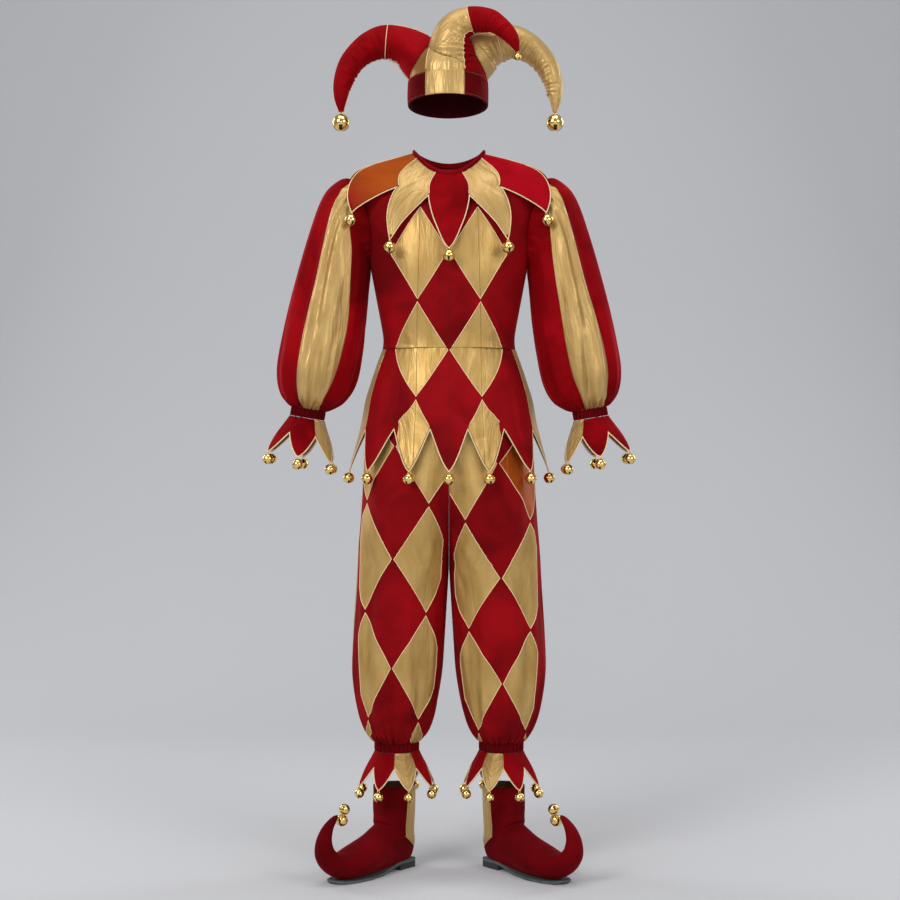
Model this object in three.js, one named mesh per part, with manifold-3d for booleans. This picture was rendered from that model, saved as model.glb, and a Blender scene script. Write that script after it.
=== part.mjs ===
// Jester costume in its worn form: hat with three horns, tunic, trousers and a pair of boots.
// Millimetres, +Z up. The costume faces -Y and +X is to the viewer's right. The origin is the
// middle of the neck opening. Cloth is a closed wall between an outer and an inner sheet of points.

import * as THREE from 'three';
import { mergeVertices } from 'three/addons/utils/BufferGeometryUtils.js';
import Module from 'manifold-3d';

const wasm = await Module();
wasm.setup();

// Driving dimensions
const CLOTH = 2;
const SEAM_GAP = 0.3;
const HALF_GAP = SEAM_GAP / 2;
const FLOOR = -1460;
const QUARTER = Math.PI / 2;
const radians = THREE.MathUtils.degToRad;
const lerp = THREE.MathUtils.lerp;

const velvet = new THREE.MeshStandardMaterial({ color: 0x8c000f, roughness: 0.8 });
const satin = new THREE.MeshStandardMaterial({ color: 0xd6b26e, roughness: 0.4 });
const elastic = new THREE.MeshStandardMaterial({ color: 0x6a0010, roughness: 0.9 });
const piping = new THREE.MeshStandardMaterial({ color: 0xebc38c, roughness: 0.5 });
const brass = new THREE.MeshStandardMaterial({ color: 0xd9a441, roughness: 0.2, metalness: 1 });
const rubber = new THREE.MeshStandardMaterial({ color: 0x555f5a, roughness: 0.8 });

// Column of a table of sections at a fractional row, smooth through the rows
function along(table, column, row) {
  const last = table.length - 1;
  const first = THREE.MathUtils.clamp(Math.floor(row), 0, last - 1);
  const f = row - first;
  const at = (k) => table[THREE.MathUtils.clamp(k, 0, last)][column];
  const [a, b, c, d] = [at(first - 1), at(first), at(first + 1), at(first + 2)];
  const bend = 2 * a - 5 * b + 4 * c - d + f * (3 * (b - c) + d - a);
  return b + 0.5 * f * (c - a + f * bend);
}

// Fractional row at which a falling or rising column passes a value
function rowAt(table, column, value) {
  const k = table.findIndex((row, i) => i > 0
    && (row[column] - value) * (table[i - 1][column] - value) <= 0);
  const before = table[k - 1][column];
  return k - 1 + (value - before) / (table[k][column] - before);
}

// Point of a surface moved out of it. A surface takes an angle (0 front, 90 degrees +X) and a row.
function raised(surface, angle, row, distance) {
  const step = 1e-3;
  const across = surface(angle + step, row).sub(surface(angle - step, row));
  const down = surface(angle, row + step).sub(surface(angle, row - step));
  const normal = down.cross(across).normalize();
  return surface(angle, row).addScaledVector(normal, distance);
}

function signedVolume(points, index) {
  let sum = 0;
  for (let i = 0; i < index.length; i += 3) {
    const [a, b, c] = [points[index[i]], points[index[i + 1]], points[index[i + 2]]];
    sum += a.dot(b.clone().cross(c));
  }
  return sum;
}

function facesOut(points, index) {
  if (signedVolume(points, index) < 0) index.reverse();
  const geometry = new THREE.BufferGeometry().setFromPoints(points);
  geometry.setIndex(index);
  return geometry;
}

// Closed body between two sheets of points. On a tube the last column joins the first.
function wallBetween(outer, inner, tube) {
  const rows = outer.length;
  const columns = outer[0].length;
  const spans = tube ? columns : columns - 1;
  const index = [];
  const out = (r, c) => r * columns + (c % columns);
  const inn = (r, c) => rows * columns + out(r, c);
  const quad = (a, b, c, d) => index.push(a, b, c, a, c, d);
  for (let c = 0; c < spans; c += 1) {
    for (let r = 0; r < rows - 1; r += 1) {
      quad(out(r, c), out(r, c + 1), out(r + 1, c + 1), out(r + 1, c));
      quad(inn(r, c), inn(r + 1, c), inn(r + 1, c + 1), inn(r, c + 1));
    }
    quad(inn(0, c), inn(0, c + 1), out(0, c + 1), out(0, c));
    quad(out(rows - 1, c), out(rows - 1, c + 1), inn(rows - 1, c + 1), inn(rows - 1, c));
  }
  for (let r = 0; r < rows - 1 && !tube; r += 1) {
    quad(out(r, 0), out(r + 1, 0), inn(r + 1, 0), inn(r, 0));
    quad(out(r + 1, spans), out(r, spans), inn(r, spans), inn(r + 1, spans));
  }
  return facesOut([...outer.flat(), ...inner.flat()], index);
}

// Solid through rings of points, closed by a flat fan at each end
function filled(rings) {
  const sides = rings[0].length;
  const points = rings.flat();
  const index = [];
  for (let r = 0; r < rings.length - 1; r += 1) {
    for (let c = 0; c < sides; c += 1) {
      const [a, b] = [r * sides + c, r * sides + ((c + 1) % sides)];
      index.push(a, b, b + sides, a, b + sides, a + sides);
    }
  }
  const cap = (ring, flip) => {
    const middle = points.length;
    const centre = new THREE.Vector3();
    rings[ring].forEach((p) => centre.addScaledVector(p, 1 / sides));
    points.push(centre);
    for (let c = 0; c < sides; c += 1) {
      const [a, b] = [ring * sides + c, ring * sides + ((c + 1) % sides)];
      index.push(...(flip ? [middle, a, b] : [middle, b, a]));
    }
  };
  cap(0, false);
  cap(rings.length - 1, true);
  return facesOut(points, index);
}

// Sheet of points: at(r, c) gives the angle and row, relief(r, c) what is raised there
function sheet({ surface, rows, columns, at, relief = () => 0, limit = (p) => p }, distance) {
  return Array.from({ length: rows }, (_, r) => Array.from({ length: columns }, (__, c) => {
    const [angle, row] = at(r, c);
    return limit(raised(surface, angle, row, distance + relief(r, c)));
  }));
}

function wall(cloth, thick = CLOTH) {
  return wallBetween(sheet(cloth, thick / 2), sheet(cloth, -thick / 2), cloth.tube ?? false);
}

function mirrored(geometry, axis) {
  const flipped = geometry.clone().scale(axis === 'x' ? -1 : 1, axis === 'y' ? -1 : 1, 1);
  flipped.setIndex([...flipped.index.array].reverse());
  return flipped;
}

function toSolid(geometry) {
  const bare = geometry.clone();
  bare.deleteAttribute('normal');
  bare.deleteAttribute('uv');
  const merged = mergeVertices(bare, 1e-4);
  return new wasm.Manifold(new wasm.Mesh({
    numProp: 3,
    vertProperties: new Float32Array(merged.attributes.position.array),
    triVerts: new Uint32Array(merged.index.array),
  }));
}

function toGeometry(solid) {
  const mesh = solid.getMesh();
  const geometry = new THREE.BufferGeometry();
  geometry.setAttribute('position', new THREE.BufferAttribute(mesh.vertProperties, 3));
  geometry.setIndex(new THREE.BufferAttribute(mesh.triVerts, 1));
  return geometry;
}

// Cut by its neighbours: only the largest body stays, offcuts inside a neighbour fall away
function cut(geometry, ...tools) {
  const rest = tools.reduce((solid, tool) => solid.subtract(toSolid(tool)), toSolid(geometry));
  const bodies = rest.decompose().sort((a, b) => b.volume() - a.volume());
  return toGeometry(bodies[0]);
}

const join = (...geometries) => toGeometry(
  geometries.map(toSolid).reduce((all, solid) => all.add(solid)),
);

function add(group, name, geometry, material) {
  const mesh = new THREE.Mesh(geometry, material);
  mesh.name = name;
  group.add(mesh);
}

// Elliptical rings: half-width, half-depth, and the heights at the side, front and back
function ringSurface(table, squareness = 1) {
  const bulge = (value) => Math.sign(value) * Math.abs(value) ** squareness;
  return (angle, row) => {
    const cosine = Math.cos(angle);
    const side = along(table, 'side', row);
    const end = along(table, cosine > 0 ? 'front' : 'back', row);
    return new THREE.Vector3(
      along(table, 'wide', row) * bulge(Math.sin(angle)),
      -along(table, 'deep', row) * bulge(cosine),
      side + (end - side) * cosine * cosine,
    );
  };
}

// Sewn-on bell: shank and ball, hanging from the point at its top. The ball has few faces, so its
// waist is a little narrower than the real one and its shoulders stand half a radius up and down.
const SHANK = { radius: 1.6, length: 4 };
const BALL = { waist: 0.87, shoulder: 0.5, sunk: 0.96 };
const BELL_SIDES = 5;

function bell(hang, radius, down, sides = BELL_SIDES) {
  const middle = -SHANK.length - BALL.sunk * radius;
  const [wide, shoulder] = [BALL.waist * radius, BALL.shoulder * radius];
  const profile = [
    [0, middle - radius], [wide, middle - shoulder], [wide, middle + shoulder],
    [SHANK.radius, -SHANK.length], [SHANK.radius, 0], [0, 0],
  ].map(([x, y]) => new THREE.Vector2(x, y));
  const geometry = new THREE.LatheGeometry(profile, sides);
  const turn = new THREE.Quaternion().setFromUnitVectors(new THREE.Vector3(0, -1, 0), down);
  return geometry.applyQuaternion(turn).translate(hang.x, hang.y, hang.z);
}

// Piped edge with bells: a cord that follows a zigzag hem 0.3 mm off the cloth, mitred at tips and
// notches. The hem is a list of { point, normal, tip } that runs from -X to +X along the front.
const CORD_RADIUS = 1.25;
const CORD_CORNERS = [{ out: 1.2, down: -1 }, { out: -1.2, down: -1 }, { out: 0, down: 1.2 }];
const MITRE_LIMIT = 3;

function bellTrim(hem, bellRadius, lean = 0.12, down = new THREE.Vector3(0, 0, -1)) {
  const count = hem.length;
  const bells = [];
  const rings = hem.map(({ point, normal, tip }, k) => {
    const before = point.clone().sub(hem[(k + count - 1) % count].point);
    const after = hem[(k + 1) % count].point.clone().sub(point);
    const sideBefore = before.cross(normal).normalize();
    const sideAfter = after.cross(normal).normalize();
    const outward = sideBefore.clone().add(sideAfter).normalize();
    const mitre = Math.min(1 / outward.dot(sideBefore), MITRE_LIMIT);
    const middle = point.clone().addScaledVector(outward, (CORD_RADIUS + SEAM_GAP) * mitre);
    if (tip) {
      const hang = down.clone().addScaledVector(normal, lean).normalize();
      bells.push(bell(middle, bellRadius, hang));
    }
    return CORD_CORNERS.map(({ out, down: low }) => middle.clone()
      .addScaledVector(normal, out * CORD_RADIUS)
      .addScaledVector(outward, low * mitre * CORD_RADIUS));
  });
  return join(wallAround(rings), ...bells);
}

// Closed loop of small rings of points
function wallAround(rings) {
  const sides = rings[0].length;
  const index = [];
  rings.forEach((_, r) => {
    const next = (r + 1) % rings.length;
    for (let c = 0; c < sides; c += 1) {
      const d = (c + 1) % sides;
      const [a, b] = [r * sides + c, r * sides + d];
      const [e, f] = [next * sides + d, next * sides + c];
      index.push(a, b, e, a, e, f);
    }
  });
  return facesOut(rings.flat(), index);
}

function hemPoint(surface, angle, row, tip) {
  const point = surface(angle, row);
  const normal = raised(surface, angle, row, 1).sub(point);
  return { point, normal, tip };
}

// Bodice: one piece in front and one at the back, seamed at the shoulders and sides
const BODICE = [
  { wide: 72.5, deep: 60.2, side: -3.8, front: -52.5, back: -22.2 },
  { wide: 144, deep: 77, side: -27, front: -86, back: -64 },
  { wide: 194, deep: 91, side: -54, front: -118, back: -100 },
  { wide: 188, deep: 102, side: -95, front: -143, back: -134 },
  { wide: 174, deep: 109, side: -155, front: -178, back: -174 },
  { wide: 160, deep: 112, side: -231, front: -231, back: -231 },
  { wide: 146, deep: 107, side: -305, front: -305, back: -305 },
  { wide: 134, deep: 100, side: -372, front: -372, back: -372 },
  { wide: 135, deep: 100, side: -399.7, front: -399.7, back: -399.7 },
];
const BODICE_SQUARENESS = 0.9;
const BODICE_COLUMNS = 11;
const bodiceSurface = ringSurface(BODICE, BODICE_SQUARENESS);

function bodicePiece(facing) {
  return wall({
    surface: bodiceSurface,
    rows: BODICE.length,
    columns: BODICE_COLUMNS,
    at: (r, c) => [facing * QUARTER + (Math.PI * c) / (BODICE_COLUMNS - 1), r],
    limit: (p) => p.setY(facing * Math.max(facing * p.y, HALF_GAP)),
  });
}

function bodiceBlock() {
  const sides = 2 * (BODICE_COLUMNS - 1);
  return filled(sheet({
    surface: bodiceSurface,
    rows: BODICE.length,
    columns: sides,
    at: (r, c) => [(2 * Math.PI * c) / sides, r],
  }, CLOTH / 2 + 2 * SEAM_GAP));
}

// Sleeve of the right side, row by row from inside the armhole to the cuff: where the outer and
// inner edge lie seen from the front, the half-depth, the height of the gathers, and the edges of
// the gold stripe as fractions from the outer edge to the inner one.
const SLEEVE = [
  { outX: 160, outZ: -90, inX: 126, inZ: -212, deep: 44, gather: 0 },
  { outX: 203, outZ: -52, inX: 160, inZ: -232, deep: 63, gather: 1.8 },
  { outX: 236, outZ: -62, inX: 161, inZ: -240, deep: 73, gather: 2.6 },
  { outX: 262, outZ: -96, inX: 162, inZ: -252, deep: 79, gather: 2.2 },
  { outX: 290, outZ: -176, inX: 165, inZ: -280, deep: 81, gather: 1 },
  { outX: 321, outZ: -286, inX: 171, inZ: -346, deep: 81, gather: 0.4 },
  { outX: 341, outZ: -372, inX: 180, inZ: -408, deep: 82, gather: 0.8 },
  { outX: 352, outZ: -440, inX: 193, inZ: -468, deep: 80, gather: 1.8 },
  { outX: 345, outZ: -488, inX: 216, inZ: -506, deep: 64, gather: 3 },
  { outX: 321, outZ: -513.5, inX: 254, inZ: -525, deep: 34, gather: 0.8 },
];
const STRIPE = {
  right: [
    { out: 0.06, in: 0.24 }, { out: 0.08, in: 0.3 }, { out: 0.15, in: 0.46 },
    { out: 0.24, in: 0.57 }, { out: 0.27, in: 0.63 }, { out: 0.245, in: 0.645 },
    { out: 0.19, in: 0.66 }, { out: 0.19, in: 0.645 }, { out: 0.21, in: 0.6 },
    { out: 0.13, in: 0.64 },
  ],
  left: [
    { out: 0.06, in: 0.24 }, { out: 0.08, in: 0.3 }, { out: 0.16, in: 0.48 },
    { out: 0.23, in: 0.66 }, { out: 0.29, in: 0.735 }, { out: 0.3, in: 0.785 },
    { out: 0.29, in: 0.785 }, { out: 0.3, in: 0.75 }, { out: 0.32, in: 0.7 },
    { out: 0.38, in: 0.8 },
  ],
};
const SLEEVE_COLUMNS = 32;
const STRIPE_COLUMNS = 10;

function sleeveSurface(angle, row) {
  const [outX, outZ] = [along(SLEEVE, 'outX', row), along(SLEEVE, 'outZ', row)];
  const [inX, inZ] = [along(SLEEVE, 'inX', row), along(SLEEVE, 'inZ', row)];
  const across = (1 + Math.sin(angle)) / 2;
  return new THREE.Vector3(
    lerp(inX, outX, across),
    -along(SLEEVE, 'deep', row) * Math.cos(angle),
    lerp(inZ, outZ, across),
  );
}

// Angles of the sleeve's columns: the stripe's come first, the rest goes round behind the arm
function sleeveAngle(side, row, column, edge = 0) {
  const from = Math.asin(1 - 2 * along(STRIPE[side], 'out', row));
  const to = Math.asin(1 - 2 * along(STRIPE[side], 'in', row));
  const turn = (edge * HALF_GAP) / along(SLEEVE, 'deep', row);
  if (column <= STRIPE_COLUMNS) return lerp(from, to, column / STRIPE_COLUMNS) + turn;
  const rest = (column - STRIPE_COLUMNS) / (SLEEVE_COLUMNS - STRIPE_COLUMNS);
  return lerp(to, from - 2 * Math.PI, rest) + turn;
}

const sleeveGather = (r, column) => SLEEVE[r].gather * (column % 2 ? 1 : -1);

function sleevePiece(side, first, last) {
  return {
    surface: sleeveSurface,
    rows: SLEEVE.length,
    columns: last - first + 1,
    at: (r, c) => {
      const edge = (c === last - first ? 1 : 0) - (c === 0 ? 1 : 0);
      return [sleeveAngle(side, r, first + c, edge), r];
    },
    relief: (r, c) => sleeveGather(r, first + c),
  };
}

function sleeveHollow(side) {
  return filled(sheet({
    surface: sleeveSurface,
    rows: 4,
    columns: SLEEVE_COLUMNS,
    at: (r, c) => [sleeveAngle(side, r, c), r],
    relief: (r, c) => sleeveGather(r, c),
  }, -CLOTH / 2));
}

// Ribbed elastic band, 20 mm tall, below a sleeve or trouser leg
const BAND = { height: 20, thick: 2, sides: 18, seam: 1.3 };

function elasticBand(radius) {
  const table = [
    { wide: radius, deep: radius, side: -BAND.seam },
    { wide: radius, deep: radius, side: -BAND.height },
  ].map((row) => ({ ...row, front: row.side, back: row.side }));
  return wall({
    surface: ringSurface(table),
    rows: table.length,
    columns: BAND.sides,
    at: (r, c) => [(2 * Math.PI * c) / BAND.sides, r],
    tube: true,
  }, BAND.thick);
}

// Flared ring of points below a band: each point has a tip, each pair a notch between them
const CUFF_FRILL = {
  points: 6, phase: 0, radius: 35, tipRadius: 73, notch: 31, length: 78, bell: 11,
};
const ANKLE_FRILL = {
  points: 8, phase: -19, radius: 44, tipRadius: 79, notch: 27, length: 68, bell: 10,
};
const FRILL_STEPS = 2;
const FRILL_ROWS = 3;

function frillSurface(frill) {
  const top = -BAND.height - BAND.seam;
  const rings = [0, 0.5, 1].map((part) => {
    const wide = lerp(frill.radius, frill.tipRadius, part ** 0.9);
    const side = top - frill.length * part;
    return { wide, deep: wide, side, front: side, back: side };
  });
  return ringSurface(rings);
}

// Row of the hem at a column: 1 at a tip, less at a notch
function frillHem(frill, column) {
  const toTip = 1 - Math.abs(((column % FRILL_STEPS) / FRILL_STEPS) * 2 - 1);
  return lerp(1, frill.notch / frill.length, 1 - toTip);
}

const frillAngle = (frill, column) => radians(frill.phase)
  + (2 * Math.PI * (column / FRILL_STEPS - 0.5)) / frill.points;

function frillWall(frill) {
  return wall({
    surface: frillSurface(frill),
    rows: FRILL_ROWS,
    columns: frill.points * FRILL_STEPS,
    at: (r, c) => [frillAngle(frill, c), (2 * frillHem(frill, c) * r) / (FRILL_ROWS - 1)],
    tube: true,
  });
}

function frillTrim(frill, down) {
  const surface = frillSurface(frill);
  const hem = Array.from({ length: frill.points * FRILL_STEPS }, (_, c) => hemPoint(
    surface,
    frillAngle(frill, c),
    2 * frillHem(frill, c),
    c % FRILL_STEPS === FRILL_STEPS / 2,
  ));
  return bellTrim(hem, frill.bell, 0, down);
}

// Collar: eight pointed pieces on a yoke surface that clears the shoulders and sleeve caps
const YOKE = [
  { wide: 75, deep: 63, side: 0, front: -50, back: -18 },
  { wide: 148, deep: 83, side: -19, front: -78, back: -56 },
  { wide: 212, deep: 99, side: -40, front: -111, back: -92 },
  { wide: 262, deep: 113, side: -78, front: -154, back: -138 },
  { wide: 284, deep: 126, side: -126, front: -202, back: -190 },
];
const yokeSurface = ringSurface(YOKE, BODICE_SQUARENESS);
const COLLAR = [
  { name: 'front', cloth: velvet, from: -19, to: 19, tip: 0, reach: 4, columns: 3 },
  { name: 'gold_front_right', cloth: satin, from: 19, to: 60, tip: 22.2, reach: 3.75, columns: 3 },
  { name: 'shoulder_right', cloth: velvet, from: 60, to: 92, tip: 44.4, reach: 3.2, columns: 3 },
  { name: 'gold_back_right', cloth: satin, from: 92, to: 155, tip: 140, reach: 3.1, columns: 6 },
  { name: 'back', cloth: velvet, from: 155, to: 205, tip: 180, reach: 3.9, columns: 5 },
  { name: 'gold_back_left', cloth: satin, from: 205, to: 268, tip: 220, reach: 3.1, columns: 6 },
  { name: 'shoulder_left', cloth: velvet, from: 268, to: 300, tip: 315.6, reach: 3.2, columns: 3 },
  { name: 'gold_front_left', cloth: satin, from: 300, to: 341, tip: 337.8, reach: 3.75, columns: 3 },
];
// The notch at the left of each piece, seen by a viewer who walks round from the front to +X
const COLLAR_NOTCH = [
  { angle: -10.6, row: 1.5 },
  { angle: 10.6, row: 1.5 },
  { angle: 32, row: 1.45 },
  { angle: 80, row: 1.05 },
  { angle: 158, row: 1.5 },
  { angle: 202, row: 1.5 },
  { angle: 280, row: 1.05 },
  { angle: 328, row: 1.45 },
  { angle: 349.4, row: 1.5 },
];
const COLLAR_BELL = 12.5;
const COLLAR_LEAN = 0.3;
const COLLAR_ROWS = 5;
const TIP_CUT = 0.95;

// Edge of a collar piece from the neck (0) past its notch (1) to its tip (2)
function collarEdge(neck, notch, tip, way) {
  if (way <= 1) return { angle: lerp(neck, notch.angle, way), row: notch.row * way };
  const part = (way - 1) * TIP_CUT;
  return { angle: lerp(notch.angle, tip.angle, part), row: lerp(notch.row, tip.row, part) };
}

function collarPiece(piece, k) {
  const tip = { angle: piece.tip, row: piece.reach };
  const [before, after] = [COLLAR_NOTCH[k], COLLAR_NOTCH[k + 1]];
  return wall({
    surface: yokeSurface,
    rows: COLLAR_ROWS,
    columns: piece.columns,
    at: (r, c) => {
      const way = (2 * r) / (COLLAR_ROWS - 1);
      const left = collarEdge(piece.from, before, tip, way);
      const right = collarEdge(piece.to, after, tip, way);
      const across = c / (piece.columns - 1);
      const row = lerp(left.row, right.row, across);
      const gap = THREE.MathUtils.radToDeg(HALF_GAP / along(YOKE, 'deep', row));
      const angle = lerp(left.angle + gap, right.angle - gap, across);
      return [radians(angle), row];
    },
  });
}

function collarTrim() {
  const hem = [];
  COLLAR.forEach((piece, k) => {
    const [from, to] = [COLLAR_NOTCH[k], COLLAR_NOTCH[k + 1]];
    const tip = { angle: piece.tip, row: piece.reach };
    const half = TIP_CUT / 2;
    const stops = [
      [from, tip, 0], [from, tip, half], [from, tip, TIP_CUT],
      [from, tip, 1], [tip, to, 1 - TIP_CUT], [tip, to, 1 - half],
    ];
    stops.forEach(([a, b, part]) => hem.push(hemPoint(
      yokeSurface,
      radians(lerp(a.angle, b.angle, part)),
      lerp(a.row, b.row, part),
      part === 1,
    )));
  });
  return bellTrim(hem, COLLAR_BELL, COLLAR_LEAN);
}

// Neck binding: a rolled edge that stands on the collar and bodice
const BINDING = [
  { wide: 73, deep: 61, side: 9.5, front: -41, back: -9 },
  { wide: 74.5, deep: 62.5, side: 1.6, front: -48, back: -16.4 },
];
const BINDING_COLUMNS = 16;
const BINDING_THICK = 3;

function neckBinding() {
  return wall({
    surface: ringSurface(BINDING),
    rows: BINDING.length,
    columns: BINDING_COLUMNS,
    at: (r, c) => [(2 * Math.PI * c) / BINDING_COLUMNS, r],
    tube: true,
  }, BINDING_THICK);
}

// Peplum: a flared skirt from the waist seam to twelve points
const PEPLUM = [
  { wide: 135.5, deep: 100.5, side: -400.3 },
  { wide: 149, deep: 111, side: -436 },
  { wide: 161, deep: 121, side: -473 },
  { wide: 169, deep: 128, side: -502 },
  { wide: 180, deep: 140, side: -560 },
  { wide: 203, deep: 160, side: -645 },
].map((row) => ({ ...row, front: row.side, back: row.side }));
const PEPLUM_STOPS = [
  { angle: 0, tip: true }, { angle: 12 }, { angle: 23, tip: true }, { angle: 37.5 },
  { angle: 53, tip: true }, { angle: 69 }, { angle: 90, tip: true }, { angle: 111 },
  { angle: 127, tip: true }, { angle: 142.5 }, { angle: 157, tip: true }, { angle: 168 },
];
const PEPLUM_NOTCH = -560;
const PEPLUM_TIP = -645;
const PEPLUM_BELL = 11.5;
const PEPLUM_ROWS = 4;
const FRONT_EDGE = 69;
// Stops at which the front, right side and back pieces end
const PEPLUM_SEAMS = { front: 10, right: 12, back: 22 };
const peplumSurface = ringSurface(PEPLUM);

// Stops all round, from the notch at the front piece's -X edge through the front, +X and the back
function peplumRound() {
  const half = PEPLUM_STOPS;
  const otherHalf = half.map((stop) => ({ ...stop, angle: 360 - stop.angle }));
  const round = [...half, { angle: 180, tip: true }, ...otherHalf.slice(1).reverse()];
  const start = round.findIndex((stop) => stop.angle === 360 - FRONT_EDGE);
  return [...round.slice(start), ...round.slice(0, start)].map((stop, k) => ({
    tip: stop.tip ?? false,
    angle: stop.angle - (k < round.length - start ? 360 : 0),
  }));
}

const PEPLUM_ROUND = peplumRound();

// Angle and hem height at a stop
function peplumHem(column) {
  const count = PEPLUM_ROUND.length;
  const { angle, tip } = PEPLUM_ROUND[column % count];
  return { angle: angle + (column < count ? 0 : 360), z: tip ? PEPLUM_TIP : PEPLUM_NOTCH, tip };
}

function peplumPiece(first, last) {
  return wall({
    surface: peplumSurface,
    rows: PEPLUM_ROWS,
    columns: last - first + 1,
    at: (r, c) => {
      const { angle, z } = peplumHem(first + c);
      const edge = (c === 0 ? 1 : 0) - (c === last - first ? 1 : 0);
      const row = (rowAt(PEPLUM, 'side', z) * r) / (PEPLUM_ROWS - 1);
      return [radians(angle) + (edge * HALF_GAP) / along(PEPLUM, 'deep', row), row];
    },
  });
}

function peplumTrim() {
  const hem = PEPLUM_ROUND.map((_, column) => {
    const { angle, z, tip } = peplumHem(column);
    return hemPoint(peplumSurface, radians(angle), rowAt(PEPLUM, 'side', z), tip);
  });
  return bellTrim(hem, PEPLUM_BELL);
}

// Trousers, right half: where the side seam lies, the middle of the leg (0 above the fork), the
// half-depth and the height of the gathers. Front and back meet at the side seam and inside leg.
const TROUSERS = [
  { z: -412, outX: 134.4, middle: 0, deep: 100, gather: 0.4 },
  { z: -500, outX: 160, middle: 0, deep: 119, gather: 0.5 },
  { z: -610, outX: 172, middle: 0, deep: 130, gather: 0.5 },
  { z: -700, outX: 176.5, middle: 38, deep: 132, gather: 0.6 },
  { z: -752, outX: 180, middle: 70, deep: 129, gather: 0.6 },
  { z: -776, outX: 183, middle: 85, deep: 125, gather: 0.6 },
  { z: -788, outX: 184, middle: 92.2, deep: 120, gather: 0.8 },
  { z: -880, outX: 189, middle: 96.5, deep: 112, gather: 1 },
  { z: -985, outX: 195.5, middle: 102.5, deep: 106, gather: 1.2 },
  { z: -1060, outX: 197, middle: 106, deep: 99, gather: 1.6 },
  { z: -1132, outX: 186, middle: 107, deep: 86, gather: 2.6 },
  { z: -1176, outX: 170, middle: 107, deep: 67, gather: 3.2 },
  { z: -1199, outX: 151, middle: 107, deep: 44, gather: 0.8 },
];
const TROUSER_COLUMNS = 12;
const ANKLE = { x: 107, z: -1199, radius: 44 };

// The angle runs from the side seam at 90 degrees to the inner end, where x meets the centre
function trouserSurface(share, row) {
  const outX = along(TROUSERS, 'outX', row);
  const middle = along(TROUSERS, 'middle', row);
  const half = outX - middle;
  const inner = Math.asin(THREE.MathUtils.clamp((HALF_GAP - middle) / half, -1, 1));
  const angle = lerp(QUARTER, inner, share);
  return new THREE.Vector3(
    middle + half * Math.sin(angle),
    -along(TROUSERS, 'deep', row) * Math.cos(angle),
    along(TROUSERS, 'z', row),
  );
}

function trouserPiece(facing) {
  const turned = (share, row) => trouserSurface(-share, row);
  const geometry = wall({
    surface: turned,
    rows: TROUSERS.length,
    columns: TROUSER_COLUMNS + 1,
    at: (r, c) => [-c / TROUSER_COLUMNS, r],
    relief: (r, c) => TROUSERS[r].gather * (c % 2 ? 1 : -1),
    limit: (p) => p.set(Math.max(p.x, HALF_GAP), Math.min(p.y, -HALF_GAP), p.z),
  });
  return facing < 0 ? geometry : mirrored(geometry, 'y');
}

// Hat, in a frame at the middle of the band's lower edge, tilted back a little
const HAT = { x: -2, z: 100, tilt: -4.8, wide: 83, deep: 100, band: 49, thick: 3 };
const GOLD_BAND = { from: -33.5, to: 24 };
const HORN_SIDES = 10;
const HORN_LEFT = [
  { x: -30, y: 0, z: 62, r: 44, deep: 50 },
  { x: -56.6, y: 0, z: 99.5, r: 47, deep: 58 },
  { x: -84, y: 0, z: 122.4, r: 39.5, deep: 48 },
  { x: -125.7, y: 0, z: 134.5, r: 34.5, deep: 37 },
  { x: -154.8, y: 0, z: 127.8, r: 31, deep: 32 },
  { x: -180, y: 0, z: 111.2, r: 27, deep: 27 },
  { x: -202, y: 0, z: 85, r: 23.8, deep: 23.8 },
  { x: -215.5, y: 0, z: 50.9, r: 19.5, deep: 19.5 },
  { x: -220, y: 0, z: 18.9, r: 14, deep: 14 },
  { x: -219, y: 0, z: -12.5, r: 4.5, deep: 4.5 },
];
const HORN_FRONT = [
  { x: 14, y: -38, z: 53, r: 54, deep: 50 },
  { x: 6, y: -52, z: 100.5, r: 47, deep: 45 },
  { x: 14, y: -61, z: 140.7, r: 36, deep: 35 },
  { x: 46.3, y: -67, z: 158.9, r: 28, deep: 28 },
  { x: 82, y: -73, z: 156.8, r: 24, deep: 24 },
  { x: 101.6, y: -75, z: 146.8, r: 20, deep: 20 },
  { x: 119, y: -77, z: 131.3, r: 17, deep: 17 },
  { x: 131, y: -78, z: 114.6, r: 13, deep: 13 },
  { x: 140, y: -79, z: 92, r: 4, deep: 4 },
];
const HAT_BELLS = { side: 17.8, front: 7.5 };
const CROWN = [
  { r: 79.4, z: 0.5 }, { r: 79.4, z: 49 }, { r: 78, z: 72 }, { r: 70, z: 96 },
  { r: 52, z: 116 }, { r: 28, z: 128 }, { r: 0, z: 132 },
];
const CROWN_SIDES = 18;

function bandPiece(from, to, columns) {
  const table = [0, HAT.band].map((z) => ({
    wide: HAT.wide - HAT.thick / 2, deep: HAT.deep - HAT.thick / 2, side: z, front: z, back: z,
  }));
  const gap = THREE.MathUtils.radToDeg(HALF_GAP / HAT.wide);
  return wall({
    surface: ringSurface(table),
    rows: table.length,
    columns,
    at: (r, c) => [radians(lerp(from + gap, to - gap, c / (columns - 1))), r],
  }, HAT.thick);
}

function crownProfile(grow) {
  return CROWN.map(({ r, z }) => new THREE.Vector2(r > 0 ? r + grow : 0, z + (r < 79 ? grow : 0)));
}

function crownLathe(profile) {
  return new THREE.LatheGeometry(profile, CROWN_SIDES)
    .rotateX(QUARTER)
    .scale(1, (HAT.deep - HAT.thick) / (HAT.wide - HAT.thick), 1);
}

const crownWall = () => crownLathe([...crownProfile(-CLOTH).reverse(), ...crownProfile(0)]);
const crownBlock = (grow) => crownLathe([new THREE.Vector2(0, 0.5), ...crownProfile(grow)]);

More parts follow.
